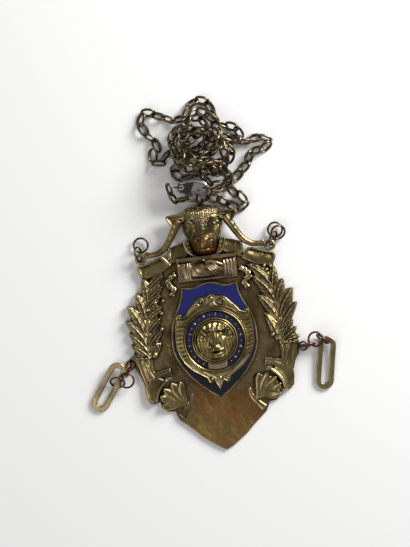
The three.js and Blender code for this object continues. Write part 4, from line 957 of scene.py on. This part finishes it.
def band(bm, low, high, side, rise, bulge=0.4, flutes=0.0, flute=0.22, waves=0.0, slope=0.0, base=PLATE,
         foot=0.4):
    """A band between two edge lines, with flutes along it, waves across it and soft dents, as in wax."""
    first, second = [eased(lifted(to_side(side, line), 0), 8) for line in (low, high)]

    def surface(u, v):
        point = at_share(first, v).lerp(at_share(second, v), (u + 1) / 2)
        height = rise + bulge * (1 - u * u) + slope * u
        if flutes:
            height += flute * math.cos(math.tau * flutes * u)
        if waves:
            height += flute * math.cos(math.tau * waves * v)
        broad = 0.05 * math.sin(0.9 * point.x + 0.6 * point.y)
        fine = 0.03 * math.sin(1.5 * point.y - 1.2 * point.x)
        height += broad + fine
        return Vector((point.x, point.y, base + height))

    patch(bm, 20, 44, surface, foot)


def coil(bm, x, y, z, radius, wire, turns, side, start, rise):
    """A flat spiral of wire that tightens and lifts towards its middle."""
    steps = 26
    line = []
    for k in range(steps + 1):
        t = k / steps
        angle = start + side * turns * math.tau * t
        reach = radius * (1 - 0.85 * t)
        line.append((x + reach * math.cos(angle), y + reach * math.sin(angle), z + rise * t))

    def thick(share):
        return wire * (1.1 - 0.4 * share)

    run(bm, along(line, thick, thick), 8)


class CHAIN_OT_plaque(bpy.types.Operator):
    """Make the cast plaque: its plate and the laurel, ribbons, husks, corner blocks and collar on it."""

    bl_idname = "chain_of_office.plaque"
    bl_label = "Plaque"

    def execute(self, context):
        relief = context.scene.chain_relief
        brass = finish_named("aged cast brass")
        plate = self.plate(mm(relief.edge))
        piece = made(plate, "plaque_plate", finish_named("stippled cast brass"), ["plaque"])
        self.pierce(piece)
        for side, word in ((1, "right"), (-1, "left")):
            bm = bmesh.new()
            self.sprays(bm, side, mm(relief.vein))
            self.knots(bm, side)
            cast_in_one(bm, f"plaque_relief_{word}", relief.grain, brass, ["plaque"])
        return {"FINISHED"}

    def plate(self, edge):
        bm = bmesh.new()
        slab(bm, both_halves(PLATE_EDGE), 0, PLATE, edge)
        for side in (1, -1):
            x, y = LOWER_EYELET[0] * side, LOWER_EYELET[1]
            ring = [(x + px, y + py, 1.65) for px, py in circle(EYELET_RADIUS, 24)]
            loop(bm, ring, 0.45, 0.65)
        return bm

    def pierce(self, piece):
        bm = bmesh.new()
        for side in (1, -1):
            for x, y, wide, high in PIERCINGS:
                place = Matrix.Translation((x * side, y, 0)) @ Matrix.Diagonal((wide, high, 12, 1))
                bmesh.ops.create_cone(
                    bm, cap_ends=True, segments=20, radius1=1, radius2=1, depth=1, matrix=place
                )
        cut_away(piece, bm)

    def sprays(self, bm, side, vein):
        for base, tip, bow, width in (LEAVES_RIGHT if side > 0 else LEAVES_LEFT):
            leaf(bm, base, tip, bow, width, side, vein)
        rail(bm, lifted(to_side(side, STEM), PLATE + STEM_LIFT), taper(0.75, -0.2), taper(0.95, -0.2))
        for x, y, radius in (BERRIES_RIGHT if side > 0 else BERRIES_LEFT):
            ball(bm, x * side, y, PLATE + 1.1, radius, radius, 1.4)

    def knots(self, bm, side):
        for tip, bow, width in HUSKS:
            husk(bm, tip, bow, width, side)
        for low, high, rise, bulge, flutes, slope in BANDS:
            band(bm, low, high, side, rise, bulge, flutes, slope=slope)
        for line, radius in RIDGES:
            rail(bm, lifted(to_side(side, line), PLATE + FOLD_LIFT), radius, radius, 8)
        ball(bm, CURL[0] * side, CURL[1], 1.4, 2.1, 2.1, 1.5)
        coil(bm, CURL[0] * side, CURL[1], PLATE + 0.9, 1.8, 0.5, 1.6, side, start=1.2, rise=0.8)
        rail(bm, lifted(to_side(side, FOOT_RIM), PLATE), taper(0.7, 1.3), taper(0.3, 0.7), 12)
        self.cord(bm, side)
        band(bm, MUZZLE_LINE, COLLAR_RIM, side, 0.9, 0.4, waves=7.0, flute=0.12)
        rail(bm, lifted(to_side(side, COLLAR_RIM), PLATE + STEM_LIFT), 0.7, 1.4)

    def cord(self, bm, side):
        line = eased(lifted(to_side(side, CORD_TIE), PLATE + FOLD_LIFT), 8)
        for strand in range(3):
            wound = []
            for k, point in enumerate(line):
                angle = k * 0.36 + strand * math.tau / 3
                way = (line[min(k + 1, len(line) - 1)] - line[max(k - 1, 0)]).normalized()
                across = Vector((-way.y, way.x, 0))
                wound.append(point + across * 0.8 * math.cos(angle) + Vector((0, 0, 0.6 * math.sin(angle))))
            run(bm, along(wound, 0.75, 0.75), 8)


class CHAIN_OT_head(bpy.types.Operator):
    """Make the bull's head with its ears, curled forehead and down-swept horns."""

    bl_idname = "chain_of_office.head"
    bl_label = "Bull's head"

    def execute(self, context):
        bm = bmesh.new()
        self.face(bm)
        for side in (1, -1):
            self.ear(bm, side)
            self.horn(bm, side)
        grain = context.scene.chain_relief.head_grain
        cast_in_one(bm, "bull_head_cast", grain, finish_named("handled cast brass"), ["bull_head"])
        return {"FINISHED"}

    def face(self, bm):
        def curled(x, y):
            """The curl that the hair makes round the nearest of its middles."""
            near = min(FOREHEAD_CURLS, key=lambda spot: (x - spot[0]) ** 2 + (y - spot[1]) ** 2)
            reach = math.hypot(x - near[0], y - near[1])
            turn = math.atan2(y - near[1], x - near[0])
            fade = max(0.0, min(1.0, (1.7 - reach) / 0.4))
            hand = 1 if near[0] > 0 else -1
            return fade * (0.25 + 0.34 * math.cos(math.tau * reach / 0.95 - hand * turn))

        def surface(u, v):
            wide, rise = between(HEAD_SECTIONS, v)
            angle = u * math.pi / 2
            x = wide * HEAD_HALF_WIDTH * math.sin(angle)
            y = HEAD_CHIN + v * HEAD_LENGTH
            open_share = max(math.cos(angle), 0)
            z = rise * HEAD_RISE * open_share ** 0.65
            # The muzzle, then the wrinkles above the nose, then the places of the table
            lift = 3.0 * math.exp(-(abs(x) / 4.5) ** 2.6 - (abs(y - 43) / 4.2) ** 2.6)
            lift += 0.14 * math.sin(2.6 * x + 1.4 * y) * math.exp(-((y - 48.5) / 3.5) ** 2)
            for px, py, sx, sy, form in HEAD_FORMS:
                for side in (1, -1) if px else (1,):
                    lift += form * math.exp(-((x - px * side) / sx) ** 2 - ((y - py) / sy) ** 2)
            z += (lift + curled(x, y)) * open_share ** 0.4
            return Vector((x, y, SEAT + max(z, 0.05)))

        patch(bm, 96, 120, surface, SEAT - 0.01)
        for side in (1, -1):
            ball(bm, EYE[0] * side, EYE[1], SEAT + EYE[2], 1.6, 1.1, 1.2, turn=-0.35 * side)
            for line, thick in ((UPPER_LID, 0.42), (LOWER_LID, 0.34)):
                rail(bm, to_side(side, line), thick, thick, 8, 5)

    def ear(self, bm, side):
        band(bm, EAR_LOW, EAR_HIGH, side, 1.1, -1.0, base=6.0, foot=4.4)
        for line in (EAR_LOW, EAR_HIGH):
            rail(bm, lifted(to_side(side, line), 6.7), 0.55, taper(0.75, -0.25), steps=8)
        rail(bm, lifted(to_side(side, EAR_ROOT), 5.9), taper(1.7, -1.1), taper(1.2, -0.8), steps=5)

    def horn(self, bm, side):
        def thick(share):
            rib = 0.05 * math.cos(share * 60) if share < 0.4 else 0
            return 2.05 - 0.95 * share + rib

        rail(bm, to_side(side, HORN_LINE), thick, thick, 14)
        x, y = HORN_EYELET[0] * side, HORN_EYELET[1]
        loop(bm, [(x + px, y + py, 2.9) for px, py in circle(EYELET_RADIUS, 24)], 0.72, 0.9)
        rail(bm, to_side(side, HORN_SPUR), 0.55, 0.6, 8, 4)


class CHAIN_OT_bar(bpy.types.Operator):
    """Make the copper-coloured bar with two clasped hands, their cuffs and sleeves."""

    bl_idname = "chain_of_office.bar"
    bl_label = "Bar with the clasped hands"

    def execute(self, context):
        bm = bmesh.new()
        for low, high, top in BAR_SLABS:
            slab(bm, [(-BAR_HALF, low), (BAR_HALF, low), (BAR_HALF, high), (-BAR_HALF, high)], SEAT, top)
        end = [(BAR_END, BAR_LOW), (BAR_HALF, BAR_LOW), (BAR_HALF, BAR_HIGH), (BAR_END, BAR_HIGH)]
        for side in (1, -1):
            slab(bm, to_side(side, end), SEAT, BAR_END_TOP)
        self.arms(bm)
        self.fingers(bm)
        copper = finish_named("copper-plated brass")
        cast_in_one(bm, "handclasp_bar_cast", BAR_GRAIN * MM, copper, ["handclasp_bar"])
        return {"FINISHED"}

    def arms(self, bm):
        def surface(u, v):
            half, rise = between(ARM_SECTIONS, v)
            angle = u * math.pi / 2
            fold = 0.28 * math.cos(math.tau * (v * 16 + 0.35 * u)) if v > 0.8 else 0
            crease = 0.12 * math.cos(math.tau * (v * 9 + 0.5 * u)) if v < 0.13 else 0
            z = rise * max(math.cos(angle), 0) ** 0.5 + fold + crease
            x = -ARM_REACH + 2 * ARM_REACH * v
            return Vector((x, ARM_LINE + half * math.sin(angle), ARM_FLOOR + max(z, 0)))

        patch(bm, 30, 130, surface, 3.4)

    def fingers(self, bm):
        ball(bm, 5.0, 33.0, 4.8, 3.4, 2.4, 1.7, turn=-0.6)
        ball(bm, -2.6, 32.6, 4.8, 3.6, 2.7, 1.6, turn=-0.2)
        for k in range(4):
            x, y = -0.3 + 1.05 * k, 33.1 + 0.35 * k
            finger = [(x + px, y + py, z) for px, py, z in FINGER]
            rail(bm, finger, taper(0.56, -0.12), 0.62, steps=5)
        rail(bm, THUMB, taper(0.95, -0.25), 0.8)
        for k in range(4):
            ball(bm, -4.0 + 1.25 * k, 30.9 - 0.15 * k, 5.3, 0.55, 0.5, 0.6)
        ball(bm, -1.4, 36.4, 4.9, 0.9, 0.6, 0.8)


class CHAIN_OT_shield(bpy.types.Operator):
    """Make the gilt shield with its cartouche, and the enamel that lies in it."""

    bl_idname = "chain_of_office.shield"
    bl_label = "Shield and enamel"

    def execute(self, context):
        gilt = finish_named("gilt struck brass")
        work = made(self.gilt_work(), "shield_gilt", gilt, ["shield"])
        self.sink_ring(work)
        enamel, navy = finish_named("vitreous enamel"), finish_named("navy vitreous enamel")
        for node, finish in (("enamel_upper", enamel), ("enamel_lower", enamel), ("enamel_ring", navy)):
            softened(node, f"shield_{node}", finish, ENAMEL_EDGE)
        softened("ring_tablet", "shield_tablet", finish_named("copper-plated brass"), 0.2)
        made(self.lozenges(), "ring_ornament", gilt)
        return {"FINISHED"}

    def sink_ring(self, work):
        """Cuts the pocket of the ring and the medallion, then lays the bead between them."""
        bm = bmesh.new()
        depth = SHIELD_TOP + 2 - POCKET_FLOOR
        bmesh.ops.create_cone(
            bm, cap_ends=True, segments=RING_SIDES, radius1=RING_OUTER, radius2=RING_OUTER, depth=depth,
            matrix=Matrix.Translation((0, 0, POCKET_FLOOR + depth / 2)),
        )
        cut_away(work, bm)
        bead = bmesh.new()
        slab(bead, circle(RING_INNER, RING_SIDES), POCKET_FLOOR - 0.02, SHIELD_TOP - 1.1)
        middle = circle(RING_INNER - 0.3, RING_SIDES)
        loop(bead, lifted(middle, (POCKET_FLOOR + SHIELD_TOP) / 2), 0.3, 0.72, 8, 0.5)
        loop(bead, lifted(middle, SHIELD_TOP + 0.1), 0.42, 0.5)
        made(bead, "medallion_bezel", finish_named("gilt struck brass"))

    def gilt_work(self):
        bm = bmesh.new()
        outline = both_halves(SHIELD_EDGE)
        slab(bm, outline, SEAT, POCKET_FLOOR, 0.1, 1)
        loop(bm, lifted(grown(outline, -0.36), SHIELD_TOP - 0.42), 0.36, 0.42, 8, 0.6)
        loop(bm, lifted(grown(outline, -0.33), POCKET_FLOOR + 0.4), 0.3, 0.7, 8, 0.4)
        cartouche = both_halves(CARTOUCHE_EDGE)
        slab(bm, cartouche, SEAT + 0.2, SHIELD_TOP, 0.22)
        loop(bm, lifted(grown(cartouche, -0.5), SHIELD_TOP), 0.42, 0.55, 8)
        self.beads(bm)
        self.flutes(bm)
        self.scrolls(bm)
        return bm

    def beads(self, bm):
        for radius, wide, high in ((13.7, 0.48, 0.7), (14.5, 0.3, 0.3)):
            loop(bm, lifted(circle(radius, RING_SIDES), SHIELD_TOP), wide, high)

    def flutes(self, bm):
        """Shell-like ribs on each side, between the bead and the strap."""
        for side in (1, -1):
            for k in range(9):
                y = 8.4 - k * 1.9
                near = math.sqrt(max(14.4 ** 2 - y * y, 0))
                far = 17.1 - max(-y - 1, 0) * 0.3
                if far - near > 0.6:
                    shares = (0, 0.25, 0.5, 0.75, 1)
                    line = [((near + (far - near) * s) * side, y + 0.5 * s, SHIELD_TOP) for s in shares]
                    run(bm, along(line, taper(0.62, 0.2), lambda s: 0.3 + 0.2 * math.sin(math.pi * s)), 10)

    def scrolls(self, bm):
        for side in (1, -1):
            coil(bm, 5.0 * side, 17.6, SHIELD_TOP + 0.1, 1.9, 0.4, 1.5, side, start=1.6, rise=0.5)
            coil(bm, 15.4 * side, 12.0, SHIELD_TOP + 0.1, 1.2, 0.36, 1.3, -side, start=0.4, rise=0.4)
            coil(bm, 3.7 * side, -17.5, SHIELD_TOP + 0.1, 1.0, 0.32, 1.3, -side, start=0.4, rise=0.4)
            for line, high in ((STRAP_BROW, 0.55), (STRAP_DROP, 0.5)):
                rail(bm, lifted(to_side(side, line), SHIELD_TOP), taper(0.5, -0.2), high, 8)
        ball(bm, 0, 18.6, SHIELD_TOP, 1.2, 1.6, 0.7)
        ball(bm, 0, -16.9, SHIELD_TOP, 1.3, 0.9, 0.6)

    def lozenges(self):
        bm = bmesh.new()
        middle = (RING_INNER + RING_OUTER) / 2
        for k in range(ORNAMENTS):
            angle = (k + 0.5) * math.tau / ORNAMENTS
            x, y = middle * math.cos(angle), middle * math.sin(angle)
            # The bare tablet lies in the place of the lowest ones
            if y < -9.5 and abs(x) < 5.6:
                continue
            if k % 2:
                ball(bm, x, y, ENAMEL_TOP, 0.3, 0.3, 0.16, sides=10)
            else:
                for reach, wide in ((0.95, 0.26), (0.3, 0.55)):
                    ball(bm, x, y, ENAMEL_TOP, reach, wide, 0.18, angle, sides=10)
        return bm


class CHAIN_OT_medallion(bpy.types.Operator):
    """Make the round medallion with the lion's mask."""

    bl_idname = "chain_of_office.medallion"
    bl_label = "Lion medallion"

    def execute(self, context):
        bm = bmesh.new()
        slab(bm, circle(MEDALLION_RADIUS, 64), ENAMEL_BOTTOM, MEDALLION_TOP)
        loop(bm, lifted(circle(MEDALLION_RIM, 64), MEDALLION_TOP), 0.42, 0.45, 8)
        self.mask(bm)
        made(bm, "lion_medallion_cast", finish_named("gilt struck brass"), ["lion_medallion"])
        return {"FINISHED"}

    def mask(self, bm):
        """The face on a dome, and round it the mane: short locks at the brow, long ones down the cheeks."""
        def relief(x, y):
            reach = math.hypot(x, y)
            rise = 1.7 * math.sqrt(max(1 - (reach / MEDALLION_RADIUS) ** 2, 0))
            oval = math.hypot(x / 4.3, (y + 0.7) / 6.9)
            face = 1 / (1 + math.exp((oval - 1) * 11))
            rise += 0.9 * face
            for px, py, sx, sy, form in LION_FORMS:
                for side in (1, -1) if px else (1,):
                    rise += form * math.exp(-((x - px * side) / sx) ** 2 - ((y - py) / sy) ** 2)
            brow = 1 / (1 + math.exp(-(y - 1.6) * 1.6))
            short = math.cos(25 * math.atan2(abs(x), y + 2) + 0.9 * math.sin(1.2 * reach + x))
            long = math.cos(math.tau * (abs(x) + 0.5 * math.sin(0.55 * y + 0.3 * x)) / 1.5)
            locks = brow * (0.45 + 0.36 * short) + (1 - brow) * (0.45 + 0.24 * long)
            return rise + (1 - face) * locks

        def surface(u, v):
            w = 2 * v - 1
            x, y = MASK_RADIUS * u * math.sqrt(1 - w * w / 2), MASK_RADIUS * w * math.sqrt(1 - u * u / 2)
            edge = max(0.0, min(1.0, (MASK_EDGE - math.hypot(x, y)) / 0.8))
            return Vector((x, y, MASK_FLOOR + relief(x, y) * edge ** 0.5))

        patch(bm, 150, 150, surface, 4.6)


class CHAIN_OT_findings(bpy.types.Operator):
    """Make the jump rings, the oval links and the bail."""

    bl_idname = "chain_of_office.findings"
    bl_label = "Rings, oval links and bail"

    def execute(self, context):
        chain = context.scene.chain_sizes
        brown, copper = finish_named("browned brass wire"), finish_named("copper wire")
        for name, (eyelet, dx, dy, z, lean, turn) in RINGS.items():
            turned = Matrix.Rotation(math.radians(turn), 4, "Z")
            leaning = Matrix.Rotation(math.radians(lean), 4, "X")
            place = Matrix.Translation((eyelet[0] + dx, eyelet[1] + dy, z)) @ turned @ leaning
            ring = jump_ring(mm(chain.ring_radius), mm(chain.ring_wire), place, turn)
            made(ring, f"{name}_wire", copper if "lower" in name else brown, [name])
        for name, x, y, radius in SMALL_RINGS:
            place = clasp_frame() @ Matrix.Translation((x, y, 0)) @ Matrix.Rotation(math.pi / 2, 4, "X")
            ring = jump_ring(radius, SMALL_WIRE, place, SMALL_SEAM)
            made(ring, f"{name}_wire", brown, [name])
        brass = finish_named("aged cast brass")
        for name in ("oval_link_left", "oval_link_right"):
            softened(name, f"{name}_cast", brass, 0.4, segments=3, angle=40)
        softened("bail", "bail_brazed", brass, 0.12, angle=60)
        return {"FINISHED"}


def clasp_frame():
    """The clasp's place: its first axis runs from its eye to its beak."""
    return Matrix.Translation(CLASP_PLACE) @ Matrix.Rotation(math.radians(CLASP_TURN), 4, "Z")


def jump_ring(radius, wire, place, seam):
    """A ring of round wire, closed, with the fine cut where its ends meet."""
    bm = bmesh.new()
    start = math.radians(seam)
    gap = 0.05 / radius
    steps = 40
    line = []
    for k in range(steps + 1):
        angle = start + gap / 2 + (math.tau - gap) * k / steps
        line.append(place @ Vector((radius * math.cos(angle), radius * math.sin(angle), 0)))
    normal = (place.to_3x3() @ Vector((0, 0, 1))).normalized()
    run(bm, along(line, wire / 2, wire / 2, up=normal), 12)
    return bm


class CHAIN_OT_clasp(bpy.types.Operator):
    """Make the trigger clasp: its body and the lever that turns on its pin."""

    bl_idname = "chain_of_office.clasp"
    bl_label = "Clasp"

    def execute(self, context):
        steel = finish_named("nickel-plated steel")
        softened("clasp_body", "clasp_body_steel", steel, 0.35, segments=3)
        softened("clasp_lever", "clasp_lever_steel", steel, 0.15, "lever")
        # The rounded back of the stamped body, which catches the light along its whole arc: its pale finish
        # is a painted highlight
        back = [clasp_frame() @ Vector((x, y, CLASP_SIDE)) for x, y in CLASP_BACK]
        bm = bmesh.new()
        rail(bm, back, lambda s: 0.45 + 0.5 * math.sin(math.pi * s),
             lambda s: 0.5 + 0.35 * math.sin(math.pi * s), 14)
        made(bm, "clasp_back", finish_named("bright nickel-plated steel"), ())
        return {"FINISHED"}


class CHAIN_OT_neck_chain(bpy.types.Operator):
    """Make the neck chain, link by link, along the pile that its route makes."""

    bl_idname = "chain_of_office.neck_chain"
    bl_label = "Neck chain"

    def execute(self, context):
        sizes = context.scene.chain_sizes
        points = settled_route()
        steps = np.r_[0, np.cumsum(np.linalg.norm(np.diff(points, axis=0), axis=1))]
        count = int(round(steps[-1] / mm(sizes.pitch)))
        random.seed(3)
        bm = bmesh.new()
        reach = mm(sizes.pitch) / 2

        def at(share):
            """The point of the settled route at one distance from its start."""
            return Vector([float(np.interp(share, steps, points[:, axis])) for axis in range(3)])

        for k in range(count + 1):
            share = steps[-1] * k / count
            way = (at(share + reach) - at(share - reach)).normalized()
            across = way.cross(Vector((0, 0, 1))).normalized()
            rise = across.cross(way)
            roll = math.radians((45 if k % 2 else -45) + random.uniform(-24, 24))
            side = across * math.cos(roll) + rise * math.sin(roll)
            turn = Matrix((way, side, way.cross(side))).transposed().to_4x4()
            swung = Matrix.Rotation(random.uniform(-0.22, 0.22), 4, "Z")
            tipped = Matrix.Rotation(random.uniform(-0.2, 0.2), 4, "Y")
            self.link(bm, sizes, at(share), turn @ (swung @ tipped))
        wire = finish_named("antique brass wire")
        made(bm, "neck_chain_links", wire, ["chain"], smooth=60)
        return {"FINISHED"}

    def link(self, bm, sizes, point, turn):
        wire = mm(sizes.link_wire) / 2
        long, short = mm(sizes.link_length) / 2 - wire, mm(sizes.link_width) / 2 - wire
        line = []
        for x, y in circle(1.0, 16, math.pi / 16):
            line.append((long * math.copysign(abs(x) ** 0.9, x), short * math.copysign(abs(y) ** 0.82, y), 0))
        verts = run(bm, along(line, wire, wire, closed=True), 6, closed=True)
        bmesh.ops.transform(bm, matrix=Matrix.Translation(point) @ turn, verts=verts)
        lowest, highest = min(vert.co.z for vert in verts), max(vert.co.z for vert in verts)
        shift = max(FLOOR_GAP - lowest, 0) - max(highest - PILE_TOP, 0)
        bmesh.ops.translate(bm, vec=(0, 0, shift), verts=verts)


def settled_route():
    """The chain's route with its heights: each later stretch rests on those laid before it."""
    # Width of the chain, height of a layer, steepest climb, how far along it rests on itself, and step
    width, layer, slope, near, step = 3.4, 4.05, 0.55, 9.0, 1.5
    plan = [np.array(p[:2], float) / MM for p in CHAIN_ROUTE]
    held = [p[2] / MM for p in CHAIN_ROUTE]
    ends = [2 * plan[0] - plan[1]] + plan + [2 * plan[-1] - plan[-2]]
    line, lift = [], []
    for k in range(1, len(ends) - 2):
        p0, p1, p2, p3 = ends[k - 1:k + 3]
        d0, d1, d2 = [np.linalg.norm(b - a) ** 0.5 for a, b in ((p0, p1), (p1, p2), (p2, p3))]
        t1 = ((p1 - p0) / d0 - (p2 - p0) / (d0 + d1) + (p2 - p1) / d1) * d1
        t2 = ((p2 - p1) / d1 - (p3 - p1) / (d1 + d2) + (p3 - p2) / d2) * d1
        for j in range(12):
            t = j / 12
            square, cube = -3 * p1 + 3 * p2 - 2 * t1 - t2, 2 * p1 - 2 * p2 + t1 + t2
            line.append(p1 + t1 * t + square * t * t + cube * t ** 3)
            lift.append(held[k - 1] * (1 - t) + held[k] * t)
    line.append(plan[-1])
    lift.append(held[-1])
    line = np.array(line)
    far = np.r_[0, np.cumsum(np.linalg.norm(np.diff(line, axis=0), axis=1))]
    places = np.linspace(0, far[-1], int(round(far[-1] / step)) + 1)
    flat = np.c_[np.interp(places, far, line[:, 0]), np.interp(places, far, line[:, 1])]
    floor = np.maximum(np.interp(places, far, lift), width / 2)
    apart = np.linalg.norm(flat[:, None] - flat[None], axis=2)
    later = places[:, None] - places[None]
    over = (later > near) & (apart < layer)
    climb = np.where(over, np.sqrt(np.maximum(layer ** 2 - apart ** 2, 0)), -1e9)
    ramp = slope * np.abs(later)
    heights = floor.copy()
    for _ in range(40):
        rest = np.maximum(floor, (heights[None] + climb).max(1))
        raised = np.maximum((rest[None] - ramp).max(1), heights)
        if np.abs(raised - heights).max() < 1e-6:
            break
        heights = raised
    return np.c_[flat, heights]


class CHAIN_OT_stage(bpy.types.Operator):
    """Lay the pale floor, the soft studio light and the camera straight above."""

    bl_idname = "chain_of_office.stage"
    bl_label = "Floor, light and camera"

    def execute(self, context):
        scene = context.scene
        bm = bmesh.new()
        bmesh.ops.create_grid(bm, x_segments=1, y_segments=1, size=2.0)
        floor = placed(bm, "floor")
        material, tree, _ = fresh("white studio board")
        shader = add_node(
            tree, "ShaderNodeBsdfPrincipled", {"Base Color": linear("#F7F7F7"), "Roughness": 0.75}
        )
        close(tree, shader.outputs["BSDF"])
        floor.data.materials.append(material)
        world = bpy.data.worlds.new("studio")
        scene.world = world
        world.use_nodes = True
        background = world.node_tree.nodes["Background"]
        background.inputs["Color"].default_value = linear("#F4F3F0")
        background.inputs["Strength"].default_value = 0.3
        for softbox in SOFTBOXES:
            self.lamp(scene, *softbox)
        self.camera(scene)
        scene.view_settings.view_transform = "Standard"
        return {"FINISHED"}

    def lamp(self, scene, name, place, size, power):
        light = bpy.data.lights.new(name, "AREA")
        light.size = size
        light.energy = power
        lamp = bpy.data.objects.new(name, light)
        lamp.location = place
        lamp.rotation_euler = (Vector((0, 0.03, 0)) - Vector(place)).to_track_quat("-Z", "Y").to_euler()
        scene.collection.objects.link(lamp)

    def camera(self, scene):
        data = bpy.data.cameras.new("camera")
        data.sensor_fit = "HORIZONTAL"
        data.sensor_width = SENSOR
        data.lens = LENS
        data.clip_end = 10
        camera = bpy.data.objects.new("camera", data)
        camera.location = (-1.17 * MM, 30.38 * MM, 3 * MM + VIEW_WIDTH * LENS / SENSOR)
        camera.rotation_euler = (0, 0, math.radians(CAMERA_TURN))
        scene.collection.objects.link(camera)
        scene.camera = camera


class CHAIN_PT_panel(bpy.types.Panel):
    """The pieces of the chain of office, and their sizes and colours."""

    bl_idname = "CHAIN_PT_panel"
    bl_label = "Chain of office"
    bl_space_type = "VIEW_3D"
    bl_region_type = "UI"
    bl_category = "Chain of office"

    def draw(self, context):
        for group in (context.scene.chain_relief, context.scene.chain_sizes, context.scene.chain_finish):
            box = self.layout.box()
            for name in group.bl_rna.properties.keys():
                if name not in ("rna_type", "name"):
                    box.prop(group, name)
        for operator in OPERATORS:
            self.layout.operator(operator.bl_idname)


OPERATORS = [
    CHAIN_OT_plaque, CHAIN_OT_head, CHAIN_OT_bar, CHAIN_OT_shield, CHAIN_OT_medallion, CHAIN_OT_findings,
    CHAIN_OT_clasp, CHAIN_OT_neck_chain, CHAIN_OT_stage,
]
CLASSES = [ReliefSettings, ChainSettings, FinishSettings, *OPERATORS, CHAIN_PT_panel]


def register():
    for kind in CLASSES:
        bpy.utils.register_class(kind)
    bpy.types.Scene.chain_relief = bpy.props.PointerProperty(type=ReliefSettings)
    bpy.types.Scene.chain_sizes = bpy.props.PointerProperty(type=ChainSettings)
    bpy.types.Scene.chain_finish = bpy.props.PointerProperty(type=FinishSettings)


def unregister():
    del bpy.types.Scene.chain_relief
    del bpy.types.Scene.chain_sizes
    del bpy.types.Scene.chain_finish
    for kind in reversed(CLASSES):
        bpy.utils.unregister_class(kind)


def main():
    register()
    for operator in OPERATORS:
        group, name = operator.bl_idname.split(".")
        getattr(getattr(bpy.ops, group), name)()


if __name__ == "__main__":
    main()
